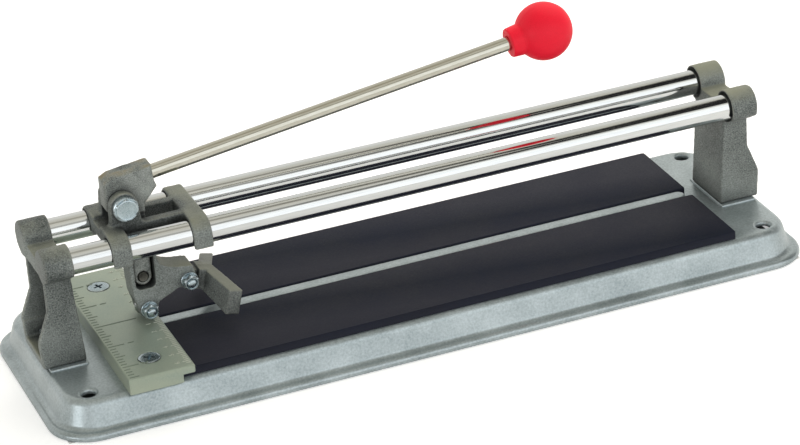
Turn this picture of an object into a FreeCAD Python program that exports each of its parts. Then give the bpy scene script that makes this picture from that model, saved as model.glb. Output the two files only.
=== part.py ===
import FreeCAD
import Part
import math
import os
import Sketcher

# Hand-operated tile cutter. Millimetres, +X along the rails, +Y to the rear, +Z up.
# The origin is the centre of the tray on the plane that it rests on.

DOCUMENT = FreeCAD.newDocument("TileCutter")
SHEET = DOCUMENT.addObject("Spreadsheet::Sheet", "Sizes")
ROWS = iter(range(1, 400))
UP = FreeCAD.Vector(0, 0, 1)

# Places nearer than the first are one place, and straight edges shorter than the second are passed over.
# A pocket takes away more than the third, in cubic millimetres.
SAME_PLACE = 0.01
SHORT_EDGE = 0.5
LEAST_CUT = 1e-6


# ---------------------------------------------------------------- sizes and expressions

class Length:
    """A number kept together with the spreadsheet expression that gives it."""

    def __init__(self, number, text):
        self.number = number
        self.text = text

    def __add__(self, other):
        other = as_length(other)
        return Length(self.number + other.number, f"({self.text} + {other.text})")

    def __sub__(self, other):
        other = as_length(other)
        return Length(self.number - other.number, f"({self.text} - {other.text})")

    def __mul__(self, other):
        other = as_length(other)
        return Length(self.number * other.number, f"({self.text} * {other.text})")

    def __truediv__(self, other):
        other = as_length(other)
        return Length(self.number / other.number, f"({self.text} / {other.text})")

    def __neg__(self):
        return Length(-self.number, f"(-1 * {self.text})")

    def __rsub__(self, other):
        return as_length(other) - self

    __radd__ = __add__
    __rmul__ = __mul__


def as_length(value):
    return value if isinstance(value, Length) else Length(float(value), repr(float(value)))


def cosine(angle):
    return Length(math.cos(math.radians(angle.number)), f"cos({angle.text} * 1 deg)")


def sine(angle):
    return Length(math.sin(math.radians(angle.number)), f"sin({angle.text} * 1 deg)")


def slope_angle(rise, run):
    angle = math.degrees(math.atan2(rise.number, run.number))
    return Length(angle, f"atan({rise.text} / {run.text})")


def size(alias, number):
    """Writes one driving dimension in the next free row of the sheet."""
    row = next(ROWS)
    SHEET.set(f"A{row}", alias)
    SHEET.set(f"B{row}", str(number))
    SHEET.setAlias(f"B{row}", alias)
    return Length(float(number), f"Sizes.{alias}")


def bind(thing, prop, value):
    thing.setExpression(prop, as_length(value).text)


# Tray
base_length = size("base_length", 450)
base_width = size("base_width", 143)
lip_width = size("lip_width", 9)
tray_height = size("tray_height", 19.5)
tray_sheet = size("tray_sheet", 1.5)
lip_height = size("lip_height", 4)
wall_run = size("wall_run", 4)
lip_corner = size("lip_corner", 25)
top_corner = size("top_corner", 20)
lip_round = size("lip_round", 2.5)
wall_root_round = size("wall_root_round", 3)
shoulder_round = size("shoulder_round", 5)
rib_half_width = size("rib_half_width", 4.4)
rib_height = size("rib_height", 4)
rib_end_inset = size("rib_end_inset", 38)
bench_hole_radius = size("bench_hole_radius", 4)
bench_hole_inset_x = size("bench_hole_inset_x", 14)
bench_hole_inset_y = size("bench_hole_inset_y", 10.5)
pad_height = size("pad_height", 1)
pad_margin = size("pad_margin", 3)

# Mats and ruler stop
mat_thickness = size("mat_thickness", 4.5)
mat_margin = size("mat_margin", 2.4)
mat_end_inset = size("mat_end_inset", 35)
mat_corner = size("mat_corner", 1.5)
mat_gap = size("mat_gap", 0.2)
ruler_inset = size("ruler_inset", 33.5)
ruler_width = size("ruler_width", 37)
ruler_overhang = size("ruler_overhang", 3.5)
ruler_height = size("ruler_height", 9.1)
ruler_lip = size("ruler_lip", 7)
ruler_bevel = size("ruler_bevel", 0.6)
ruler_screw_inset_x = size("ruler_screw_inset_x", 17.5)
ruler_screw_inset_y = size("ruler_screw_inset_y", 16)

# Rails and end castings
rail_radius = size("rail_radius", 7.4)
rail_spacing = size("rail_spacing", 40)
rail_height = size("rail_height", 82.3)
socket_depth = size("socket_depth", 13)
rail_end_gap = size("rail_end_gap", 0.5)
bracket_inset = size("bracket_inset", 20.5)
foot_depth = size("bracket_foot_depth", 21)
boss_wall = size("boss_wall", 2.6)
boss_depth = size("boss_depth", 16.4)
boss_round = size("boss_round", 1.1)
boss_cut_height = size("boss_cut_height", 4.3)
column_half_width = size("column_half_width", 18.3)
column_drop = size("column_drop", 1.3)
column_draft = size("column_draft", 3.5)
waist_depth = size("waist_depth", 15.2)
waist_height = size("waist_height", 54)
flare_depth = size("flare_depth", 22)
flare_height = size("flare_height", 37)
bracket_wall = size("bracket_wall", 3)
bracket_floor = size("bracket_floor", 5)
web_height = size("web_height", 82)
hollow_top = size("hollow_top", 72.5)
ledge_height = size("ledge_height", 15)
ledge_depth = size("ledge_depth", 1)
bracket_edge_round = size("bracket_edge_round", 0.8)
bracket_bolt_depth = size("bracket_bolt_depth", 9.2)
bracket_bolt_y = size("bracket_bolt_y", 8.2)

# Carriage
pivot_inset = size("pivot_inset", 35.5)
pivot_rise = size("pivot_rise", 20.2)
yoke_wall = size("yoke_wall", 1.9)
yoke_left = size("yoke_left", 13.8)
yoke_left_width = size("yoke_left_width", 11)
yoke_right = size("yoke_right", 31.9)
yoke_right_width = size("yoke_right_width", 10.8)
yoke_drop = size("yoke_drop", 6.3)
inner_leg_drop = size("inner_leg_drop", 3)
inner_leg_wall = size("inner_leg_wall", 3.6)
crown_thickness = size("crown_thickness", 8.6)
saddle_dip = size("saddle_dip", 2)
web_drop = size("web_drop", 0.6)
ear_wall = size("ear_wall", 5.4)
ear_radius = size("ear_radius", 7.9)
ear_root = size("ear_root", 6)
ear_spread_left = size("ear_spread_left", 1)
ear_spread_right = size("ear_spread_right", 2)
carriage_round = size("carriage_round", 1)
rail_gap = size("rail_gap", 0.3)
lever_side_gap = size("lever_side_gap", 0.3)

# Lever
head_thickness = size("head_thickness", 12)
head_back = size("head_back", 8.3)
head_nose = size("head_nose", 21.2)
head_shoulder_rise = size("head_shoulder_rise", 12.9)
head_shoulder_run = size("head_shoulder_run", 5)
head_top_back = size("head_top_back", 15.4)
head_top_front = size("head_top_front", 18.1)
head_front = size("head_front", 19)
head_brow = size("head_brow", 20)
head_brow_rise = size("head_brow_rise", 8)
head_nose_rise = size("head_nose_rise", 5)
head_chin_drop = size("head_chin_drop", 3.9)
head_stem_drop = size("head_stem_drop", 9)
head_hub_radius = size("head_hub_radius", 8)
head_round = size("head_round", 1.2)
tongue_thickness = size("tongue_thickness", 8)
tongue_width = size("tongue_width", 10.2)
rod_pitch = size("rod_pitch", 7.46)
rod_radius = size("rod_radius", 4)
rod_root_x = size("rod_root_x", 21.3)
rod_root_rise = size("rod_root_rise", 11.7)
rod_socket = size("rod_socket", 18)
rod_reach = size("rod_reach", 234.7)
rod_end_gap = size("rod_end_gap", 0.5)
knob_radius = size("knob_radius", 16.5)
knob_neck_radius = size("knob_neck_radius", 8.5)
knob_neck_length = size("knob_neck_length", 5)
insert_radius = size("insert_radius", 6)
insert_length = size("insert_length", 16)
knob_lip = size("knob_lip", 1)

# Wheel holder, scoring wheel and breaker foot
holder_thickness = size("holder_thickness", 14)
holder_back_wall = size("holder_back_wall", 3)
holder_side_wall = size("holder_side_wall", 3.3)
holder_top = size("holder_top", 34.5)
holder_pin_x = size("holder_pin_x", 8.1)
holder_pin_drop = size("holder_pin_drop", 47.9)
holder_pin_radius = size("holder_pin_radius", 2.9)
tongue_gap = size("tongue_gap", 0.3)
recess_gap = size("recess_gap", 0.9)
recess_round = size("recess_round", 3)
leg_taper = size("leg_taper", 1.5)
leg_bend_rise = size("leg_bend_rise", 9)
crotch_rise = size("crotch_rise", 3)
crotch_run = size("crotch_run", 6.1)
arm_under_run = size("arm_under_run", 5.8)
arm_under_drop = size("arm_under_drop", 3)
arm_end_run = size("arm_end_run", 2.8)
arm_end_rise = size("arm_end_rise", 8.6)
arm_top_run = size("arm_top_run", 7)
arm_top_rise = size("arm_top_rise", 10)
arm_dip_run = size("arm_dip_run", 11.5)
arm_dip_rise = size("arm_dip_rise", 11.5)
arm_root_run = size("arm_root_run", 3)
arm_root_rise = size("arm_root_rise", 14)
arm_slot_back = size("arm_slot_back", 6.5)
arm_slot_rise = size("arm_slot_rise", 6.5)
fork_gap = size("fork_gap", 0.7)
pin_gap = size("pin_gap", 0.5)
wheel_x = size("wheel_x", 8.7)
wheel_drop = size("wheel_drop", 66.7)
wheel_radius = size("wheel_radius", 6.35)
wheel_thickness = size("wheel_thickness", 2.6)
wheel_edge = size("wheel_edge", 0.8)
wheel_side_gap = size("wheel_side_gap", 0.3)
leg_end_radius = size("leg_end_radius", 5.4)
foot_pivot_x = size("foot_pivot_x", 33)
foot_pivot_drop = size("foot_pivot_drop", 54.9)
foot_pitch = size("foot_pitch", 14)
foot_boss_radius = size("foot_boss_radius", 4.8)
foot_tongue_thickness = size("foot_tongue_thickness", 7.6)
foot_hub_width = size("foot_hub_width", 12)
foot_hub_start = size("foot_hub_start", 5.3)
foot_hub_height = size("foot_hub_height", 6.5)
foot_half_span = size("foot_half_span", 26)
foot_thickness = size("foot_thickness", 8)
foot_hub_depth = size("foot_hub_depth", 11.5)
foot_deepening = size("foot_deepening", 3.4)
foot_wing_start = size("foot_wing_start", 6.6)
foot_tongue_half = size("foot_tongue_half", 4.6)
foot_sweep = size("foot_sweep", 10.4)
foot_droop = size("foot_droop", 4.6)
foot_round = size("foot_round", 1)
foot_hub_inset = size("foot_hub_inset", 0.5)

# Fasteners
large_shank = size("large_shank_radius", 3)
small_shank = size("small_shank_radius", 2.5)
large_hex = size("large_hex_flats", 10)
small_hex = size("small_hex_flats", 8)
large_nut_height = size("large_nut_height", 5)
small_nut_height = size("small_nut_height", 4)
large_head_height = size("large_head_height", 4)
small_head_height = size("small_head_height", 3.5)
flange_radius = size("flange_radius", 7.1)
flange_height = size("flange_height", 1.5)
large_washer_radius = size("large_washer_radius", 6)
small_washer_radius = size("small_washer_radius", 5)
washer_height = size("washer_height", 1)
thread_stub = size("thread_stub", 1)
screw_head_radius = size("screw_head_radius", 6)
screw_head_height = size("screw_head_height", 3.4)
screw_slot_width = size("screw_slot_width", 1.2)
screw_slot_reach = size("screw_slot_reach", 2.6)
screw_slot_depth = size("screw_slot_depth", 1.8)
shaft_play = size("shaft_play", 0.05)
hole_play = size("hole_play", 0.25)
cut_margin = size("cut_margin", 1)

# Sizes and places that several pieces share
top_length = base_length - lip_width * 2
top_width = base_width - lip_width * 2
plateau = tray_height
pad_top = tray_height + pad_height
bracket_face = top_length / 2 - bracket_inset
boss_radius = rail_radius + boss_wall
column_top = rail_height - boss_radius - column_drop
rib_end = top_length / 2 - rib_end_inset
mat_end = top_length / 2 - mat_end_inset
mat_width = top_width / 2 - mat_margin - mat_gap - rib_half_width
ruler_left = ruler_inset - top_length / 2
ruler_length = top_width + ruler_overhang * 2
ruler_screw_x = ruler_left + ruler_screw_inset_x
ruler_screw_y = top_width / 2 - ruler_screw_inset_y
pivot_x = pivot_inset - bracket_face
yoke_rise = rail_radius + rail_gap + yoke_wall
mat_top = plateau + mat_thickness
ruler_right = ruler_left + ruler_width
ruler_step = ruler_right - ruler_lip
ruler_top = plateau + ruler_height
rail_y = rail_spacing / 2
pivot_z = rail_height + pivot_rise
yoke_left_x = pivot_x - yoke_left
yoke_right_x = pivot_x + yoke_right
wheel_z = pivot_z - wheel_drop
wheel_axis_x = pivot_x + wheel_x
pin_x = pivot_x + holder_pin_x
pin_z = pivot_z - holder_pin_drop
foot_axis_x = pivot_x + foot_pivot_x
foot_axis_z = pivot_z - foot_pivot_drop
ear_inner = head_thickness / 2 + lever_side_gap
ear_outer = ear_inner + ear_wall


# ---------------------------------------------------------------- bodies and sketches

def new_body(label):
    body = DOCUMENT.addObject("PartDesign::Body", "body_" + label)
    body.Label = label
    return body


def sketch_on(body, plane, lift=0):
    """A sketch on one of the body's origin planes, moved along that plane's normal."""
    sketch = body.newObject("Sketcher::SketchObject", "sketch")
    support = next(item for item in body.Origin.OriginFeatures if item.Role == plane)
    sketch.AttachmentSupport = [(support, "")]
    sketch.MapMode = "FlatFace"
    bind(sketch, "AttachmentOffset.Base.z", lift)
    return sketch


def hold_vertex(sketch, element, vertex, place):
    for kind, value in zip(("DistanceX", "DistanceY"), place):
        value = as_length(value)
        index = sketch.addConstraint(Sketcher.Constraint(kind, -1, 1, element, vertex, value.number))
        sketch.setExpression(f"Constraints[{index}]", value.text)


def hold_radius(sketch, element, radius):
    index = sketch.addConstraint(Sketcher.Constraint("Radius", element, radius.number))
    sketch.setExpression(f"Constraints[{index}]", radius.text)


def add_arc(sketch, start, end, radius):
    """An arc from start to end, to the left of the chord's middle for a positive radius."""
    chord = end - start
    side = 1 if radius.number > 0 else -1
    rise = math.sqrt(max(radius.number ** 2 - chord.Length ** 2 / 4, 0))
    centre = start + chord / 2 + UP.cross(chord).normalize() * side * rise
    rays = (start - centre, end - centre) if side > 0 else (end - centre, start - centre)
    angles = [math.atan2(ray.y, ray.x) for ray in rays]
    element = sketch.addGeometry(Part.ArcOfCircle(Part.Circle(centre, UP, abs(radius.number)), *angles))
    hold_radius(sketch, element, radius * side)
    return (1, 2) if side > 0 else (2, 1)


def outline(sketch, corners):
    """A closed outline. A corner with a third value is reached by an arc of that radius."""
    flat = [FreeCAD.Vector(as_length(c[0]).number, as_length(c[1]).number, 0) for c in corners]
    ends = []
    for index, corner in enumerate(corners):
        if len(corner) == 3:
            ends.append(add_arc(sketch, flat[index - 1], flat[index], as_length(corner[2])))
        else:
            sketch.addGeometry(Part.LineSegment(flat[index - 1], flat[index]))
            ends.append((1, 2))
    for index, corner in enumerate(corners):
        following = (index + 1) % len(corners)
        sketch.addConstraint(Sketcher.Constraint("Coincident", index, ends[index][1],
                                                 following, ends[following][0]))
        hold_vertex(sketch, index, ends[index][1], corner[:2])
    return sketch


def rectangle(sketch, low_x, low_y, high_x, high_y):
    return outline(sketch, [(low_x, low_y), (high_x, low_y), (high_x, high_y), (low_x, high_y)])


def circles(sketch, centres, radius):
    for centre in centres:
        place = FreeCAD.Vector(as_length(centre[0]).number, as_length(centre[1]).number, 0)
        element = sketch.addGeometry(Part.Circle(place, UP, as_length(radius).number))
        hold_vertex(sketch, element, 3, centre)
        hold_radius(sketch, element, as_length(radius))
    return sketch


def finished(feature):
    """Recomputes and stops with the piece's name if the feature has failed."""
    DOCUMENT.recompute()
    if "Invalid" in feature.State or feature.Shape.isNull():
        raise RuntimeError(f"{feature.Name} of {feature.getParentGeoFeatureGroup().Label} failed")
    return feature


def extrude(body, kind, sketch, length, both_ways=False, turned=False):
    feature = body.newObject("PartDesign::" + kind, kind.lower())
    feature.Profile = sketch
    feature.SideType = "Symmetric" if both_ways else "One side"
    feature.Reversed = turned
    bind(feature, "Length", length)
    return finished(feature)


def pad(body, sketch, length, **ways):
    return extrude(body, "Pad", sketch, length, **ways)


def pocket(body, sketch, length, **ways):
    """A pocket that must take material away."""
    before = body.Shape.Volume
    feature = extrude(body, "Pocket", sketch, length, **ways)
    if feature.Shape.Volume >= before - LEAST_CUT:
        raise RuntimeError(f"a pocket of {body.Label} cuts nothing")
    return feature


def edges_where(shape, wanted):
    return [f"Edge{number}" for number, edge in enumerate(shape.Edges, 1) if wanted(edge)]


def fillet(body, radius, wanted):
    """Rounds the edges of the body's present shape that the test accepts."""
    base = body.Tip
    feature = body.newObject("PartDesign::Fillet", "fillet")
    feature.Base = (base, edges_where(base.Shape, wanted))
    bind(feature, "Radius", radius)
    return finished(feature)


def points_of(edge):
    return [edge.valueAt(edge.FirstParameter + share * (edge.LastParameter - edge.FirstParameter))
            for share in (0, 0.5, 1)]


def lies_in(edge, axis, value):
    """True when the whole edge lies in the plane axis = value."""
    return all(abs(getattr(point, axis) - as_length(value).number) < SAME_PLACE for point in points_of(edge))


def runs_along(edge, axis):
    start, _, end = points_of(edge)
    step = end - start
    across = [abs(getattr(step, other)) for other in "xyz" if other != axis]
    return step.Length > SHORT_EDGE and max(across) < SAME_PLACE and edge.Curve.TypeId == "Part::GeomLine"


# ---------------------------------------------------------------- primitives for turned parts and fasteners

TURNS = {"up": ((1, 0, 0), 0), "down": ((1, 0, 0), 180), "front": ((1, 0, 0), 90), "rear": ((1, 0, 0), -90),
         "right": ((0, 1, 0), 90)}


def place(thing, base, heading="up"):
    """Puts a primitive at a bound place, with its own Z axis along a named heading."""
    axis, angle = TURNS[heading]
    thing.Placement = FreeCAD.Placement(FreeCAD.Vector(), FreeCAD.Rotation(FreeCAD.Vector(*axis), angle))
    for letter, value in zip("xyz", base):
        bind(thing, f"Placement.Base.{letter}", value)
    return thing


def cylinder(radius, height, base, heading="up"):
    thing = DOCUMENT.addObject("Part::Cylinder", "cylinder")
    bind(thing, "Radius", radius)
    bind(thing, "Height", height)
    return place(thing, base, heading)


def cone(low_radius, high_radius, height, base, heading="up"):
    thing = DOCUMENT.addObject("Part::Cone", "cone")
    bind(thing, "Radius1", low_radius)
    bind(thing, "Radius2", high_radius)
    bind(thing, "Height", height)
    return place(thing, base, heading)


def hexagon(flats, height, base, heading="up"):
    thing = DOCUMENT.addObject("Part::Prism", "hexagon")
    thing.Polygon = 6
    bind(thing, "Circumradius", flats / math.sqrt(3))
    bind(thing, "Height", height)
    return place(thing, base, heading)


def block(low, high):
    thing = DOCUMENT.addObject("Part::Box", "block")
    for name, start, end in zip(("Length", "Width", "Height"), low, high):
        bind(thing, name, as_length(end) - start)
    return place(thing, low)


def fuse(things):
    joined = DOCUMENT.addObject("Part::MultiFuse", "fuse")
    joined.Shapes = things
    return joined


def cut(base, tool):
    result = DOCUMENT.addObject("Part::Cut", "cut")
    result.Base = base
    result.Tool = tool
    return result


def group(label, things):
    """Identical loose pieces under one label."""
    joined = DOCUMENT.addObject("Part::Compound", "group")
    joined.Links = things
    joined.Label = label
    return joined


def named(label, thing):
    thing.Label = label
    return thing


def step_along(base, heading, distance):
    """The point that lies a distance from base along a heading."""
    x, y, z = base
    return {"up": (x, y, z + distance), "down": (x, y, z - distance),
            "front": (x, y - distance, z), "rear": (x, y + distance, z)}[heading]


def washer(radius, bore, base, heading):
    """A washer that starts at base and is one washer_height thick."""
    disc = cylinder(radius, washer_height, base, heading)
    return cut(disc, cylinder(bore + hole_play, washer_height, base, heading))


def nut(flats, bore, height, base, heading):
    body = hexagon(flats, height, base, heading)
    return cut(body, cylinder(bore + shaft_play, height, base, heading))


def bolt(flats, head_height, radius, length, base, heading):
    """A hex bolt whose head stands on base and whose shank runs against the heading."""
    back = {"up": "down", "down": "up", "front": "rear", "rear": "front"}[heading]
    head = hexagon(flats, head_height, base, heading)
    shank = cylinder(radius, length + head_height / 2, step_along(base, heading, head_height / 2), back)
    return fuse([head, shank])


# ---------------------------------------------------------------- tray

def rounded_rectangle(sketch, half_x, half_y, radius):
    corners = []
    for side_x, side_y in ((1, 1), (-1, 1), (-1, -1), (1, -1)):
        before = (half_x * side_x, (half_y - radius) * side_y)
        after = ((half_x - radius) * side_x, half_y * side_y)
        if side_x * side_y < 0:
            before, after = after, before
        corners += [before, (*after, radius)]
    return outline(sketch, corners)


def pressed_form(name, inset):
    """The tray's outer form, or with an inset the form of the space beneath the sheet."""
    body = new_body(name)
    root_z, crown_z = lip_height - inset, tray_height - inset
    wall_x, wall_y = top_length / 2 + wall_run - inset, top_width / 2 + wall_run - inset
    wall = pad(body, rectangle(sketch_on(body, "XY_Plane", root_z), -wall_x, -wall_y, wall_x, wall_y),
               crown_z - root_z)
    bind(wall, "TaperAngle", -slope_angle(wall_run, tray_height - lip_height))
    DOCUMENT.recompute()
    fillet(body, top_corner - inset,
           lambda edge: not lies_in(edge, "z", root_z) and not lies_in(edge, "z", crown_z))
    fillet(body, shoulder_round - inset, lambda edge: lies_in(edge, "z", crown_z))
    pad(body, rounded_rectangle(sketch_on(body, "XY_Plane"), base_length / 2 - inset, base_width / 2 - inset,
                                lip_corner - inset), root_z)
    floor_middles = [points_of(edge)[1] for edge in body.Shape.Edges if lies_in(edge, "z", 0)]

    def at_rim(edge):
        middle = points_of(edge)[1]
        return any(math.hypot(middle.x - low.x, middle.y - low.y) < SAME_PLACE for low in floor_middles)

    fillet(body, wall_root_round + inset, lambda edge: lies_in(edge, "z", root_z) and not at_rim(edge))
    fillet(body, lip_round - inset, lambda edge: lies_in(edge, "z", root_z) and at_rim(edge))
    return body


def rib_form(inset):
    """The rib between the mats, with a half-round nose at its right-hand end."""
    low, high = plateau - inset - tray_sheet, plateau + rib_height - inset
    nose_x = rib_end - rib_half_width
    start = ruler_step + inset
    bar = block((start, -rib_half_width + inset, low), (nose_x, rib_half_width - inset, high))
    return fuse([bar, cylinder(rib_half_width - inset, high - low, (nose_x, 0, low))])


def pad_form(side, inset):
    """The raised seat under one end casting."""
    low, high = plateau - inset - tray_sheet, pad_top - inset
    near, far = bracket_face - column_draft - pad_margin, top_length / 2 - shoulder_round / 2
    near, far = near + inset, far - inset
    half = column_half_width + pad_margin - inset
    ends = (near, far) if side > 0 else (-far, -near)
    return block((ends[0], -half, low), (ends[1], half, high))


def base_plate():
    """Pressed steel tray with its rib, seats, bench holes and screw holes."""
    raised = [pressed_form("tray_outside", as_length(0)), rib_form(as_length(0))]
    hollow = [pressed_form("tray_inside", tray_sheet), rib_form(tray_sheet)]
    for side in (1, -1):
        raised.append(pad_form(side, as_length(0)))
        hollow.append(pad_form(side, tray_sheet))
    drill_depth = tray_height + pad_height
    bench_x, bench_y = top_length / 2 - bench_hole_inset_x, top_width / 2 - bench_hole_inset_y
    for side_x in (1, -1):
        for side_y in (1, -1):
            hollow.append(cylinder(bench_hole_radius, drill_depth, (bench_x * side_x, bench_y * side_y, 0)))
    for x, y in bracket_bolt_places():
        hollow.append(cylinder(large_shank + hole_play, drill_depth, (x, y, 0)))
    for side in (1, -1):
        hollow.append(cylinder(small_shank + hole_play, drill_depth,
                               (ruler_screw_x, ruler_screw_y * side, 0)))
    return named("base_plate", cut(fuse(raised), fuse(hollow)))


def bracket_bolt_places():
    x = bracket_face + bracket_bolt_depth
    return [(x * end, bracket_bolt_y * side) for end in (1, -1) for side in (1, -1)]


# ---------------------------------------------------------------- mats and ruler stop

def mat(label, side):
    """A rubber mat from under the ruler's lip to near the right-hand end."""
    body = new_body(label)
    inner = rib_half_width + mat_gap
    outer = inner + mat_width
    low, high = (inner, outer) if side > 0 else (-outer, -inner)
    pad(body, rectangle(sketch_on(body, "XY_Plane", plateau), ruler_step + mat_gap, low, mat_end, high),
        mat_thickness)
    fillet(body, mat_corner, lambda edge: runs_along(edge, "z"))
    return body


def ruler_screw_head(reach):
    """Countersunk heads, or with a reach the countersinks that hold them."""
    return [cone(small_shank + reach, screw_head_radius + reach, screw_head_height,
                 (ruler_screw_x, ruler_screw_y * side, ruler_top - screw_head_height)) for side in (1, -1)]


def ruler_stop():
    """Stop bar: a step with a lip over the mats, bevelled top edges and two countersunk holes."""
    body = new_body("ruler_body")
    lip_z = mat_top + mat_gap
    profile = [(ruler_left, plateau), (ruler_step, plateau), (ruler_step, lip_z), (ruler_right, lip_z),
               (ruler_right, ruler_top - ruler_bevel), (ruler_right - ruler_bevel, ruler_top),
               (ruler_left + ruler_bevel, ruler_top), (ruler_left, ruler_top - ruler_bevel)]
    pad(body, outline(sketch_on(body, "XZ_Plane"), profile), ruler_length, both_ways=True)
    holes = [cylinder(small_shank + hole_play, ruler_height, (ruler_screw_x, ruler_screw_y * side, plateau))
             for side in (1, -1)]
    return named("ruler_stop", cut(body, fuse(holes + ruler_screw_head(shaft_play))))


def ruler_fasteners():
    """Cross-recess screws with a washer and a nut each under the tray."""
    under = plateau - tray_sheet
    screws, washers, nuts = [], [], []
    shank_end = under - washer_height - small_nut_height - thread_stub
    for side, head in zip((1, -1), ruler_screw_head(as_length(0))):
        x, y = ruler_screw_x, ruler_screw_y * side
        shank = cylinder(small_shank, ruler_top - screw_head_height - shank_end, (x, y, shank_end))
        half, reach = screw_slot_width / 2, screw_slot_reach
        low, high = ruler_top - screw_slot_depth, ruler_top
        recess = fuse([block((x - half, y - reach, low), (x + half, y + reach, high)),
                       block((x - reach, y - half, low), (x + reach, y + half, high))])
        screws.append(cut(fuse([head, shank]), recess))
        washers.append(washer(small_washer_radius, small_shank, (x, y, under), "down"))
        nuts.append(nut(small_hex, small_shank, small_nut_height, (x, y, under - washer_height), "down"))
    group("ruler_screws", screws)
    group("ruler_washers", washers)
    group("ruler_nuts", nuts)


# ---------------------------------------------------------------- end castings and rails

def end_bracket(label, turned_round):
    """Iron end casting: two rail bosses on a hollow column that is open on its outer side."""
    body = new_body(label)
    waist_face = bracket_face + waist_depth
    below = column_top - boss_radius
    shelf = rail_height - boss_cut_height
    bosses = [(rail_y * side, rail_height) for side in (1, -1)]
    column = [(bracket_face - column_draft, pad_top), (bracket_face, column_top), (bracket_face, web_height),
              (waist_face, web_height), (waist_face, waist_height),
              (bracket_face + flare_depth, flare_height), (bracket_face + foot_depth, pad_top)]
    pad(body, outline(sketch_on(body, "XZ_Plane"), column), column_half_width * 2, both_ways=True)
    fillet(body, bracket_edge_round, lambda edge: not lies_in(edge, "z", pad_top)
           and any(lies_in(edge, "y", column_half_width * side) for side in (1, -1)))
    pad(body, circles(sketch_on(body, "YZ_Plane", bracket_face), bosses, boss_radius), boss_depth)
    fillet(body, boss_round, lambda edge: lies_in(edge, "x", bracket_face + boss_depth))
    for side in (1, -1):
        far = (rail_y + boss_radius) * side
        corner = [(column_half_width * side, column_top), (far, shelf), (far, below),
                  (column_half_width * side, below)]
        pocket(body, outline(sketch_on(body, "YZ_Plane", bracket_face), corner), boss_depth, turned=True)
    floor_z = pad_top + bracket_floor
    ledge_z = pad_top + ledge_height
    beyond = bracket_face + flare_depth + cut_margin
    plate_low = bracket_face - column_draft + bracket_wall
    plate_high = bracket_face + bracket_wall
    upper = [(plate_low, ledge_z), (plate_high, column_top), (plate_high, hollow_top), (beyond, hollow_top),
             (beyond, ledge_z)]
    inner_half = column_half_width - bracket_wall
    pocket(body, outline(sketch_on(body, "XZ_Plane"), upper), inner_half * 2, both_ways=True)
    lower = rectangle(sketch_on(body, "XZ_Plane"), plate_low + ledge_depth, floor_z, beyond, ledge_z)
    pocket(body, lower, (inner_half - ledge_depth) * 2, both_ways=True)
    sockets = circles(sketch_on(body, "YZ_Plane", bracket_face), bosses, rail_radius + shaft_play)
    pocket(body, sockets, socket_depth, turned=True)
    bolt_x = bracket_face + bracket_bolt_depth
    holes = [(bolt_x, bracket_bolt_y * side) for side in (1, -1)]
    drill = circles(sketch_on(body, "XY_Plane", floor_z), holes, large_shank + hole_play)
    pocket(body, drill, bracket_floor)
    if turned_round:
        body.Placement = FreeCAD.Placement(FreeCAD.Vector(), FreeCAD.Rotation(UP, 180))
    return body


def rail(label, side):
    half_length = bracket_face + socket_depth - rail_end_gap
    return named(label, cylinder(rail_radius, half_length * 2, (-half_length, rail_y * side, rail_height),
                                 "right"))


def bracket_fasteners():
    """Hex bolts down through each casting's floor and the tray, with washers above and below."""
    floor_z = pad_top + bracket_floor
    under = pad_top - tray_sheet
    bolts, washers, nut_washers, nuts = [], [], [], []
    length = floor_z + washer_height - under + washer_height + large_nut_height + thread_stub
    for x, y in bracket_bolt_places():
        bolts.append(bolt(large_hex, large_head_height, large_shank, length, (x, y, floor_z + washer_height),
                          "up"))
        washers.append(washer(large_washer_radius, large_shank, (x, y, floor_z), "up"))
        nut_washers.append(washer(large_washer_radius, large_shank, (x, y, under), "down"))
        nuts.append(nut(large_hex, large_shank, large_nut_height, (x, y, under - washer_height), "down"))
    group("bracket_bolts", bolts)
    group("bracket_washers", washers)
    group("bracket_nut_washers", nut_washers)
    group("bracket_nuts", nuts)


# ---------------------------------------------------------------- carriage and pivot

def mirrored(half):
    """Closes a half outline, given from bottom to top on the +Y side, with its mirror image."""
    other = []
    for index in range(len(half) - 1, -1, -1):
        y, z = half[index][:2]
        arc = half[index + 1][2:] if index + 1 < len(half) else ()
        other.append((-as_length(y), z, *arc))
    return list(half) + other


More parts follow.
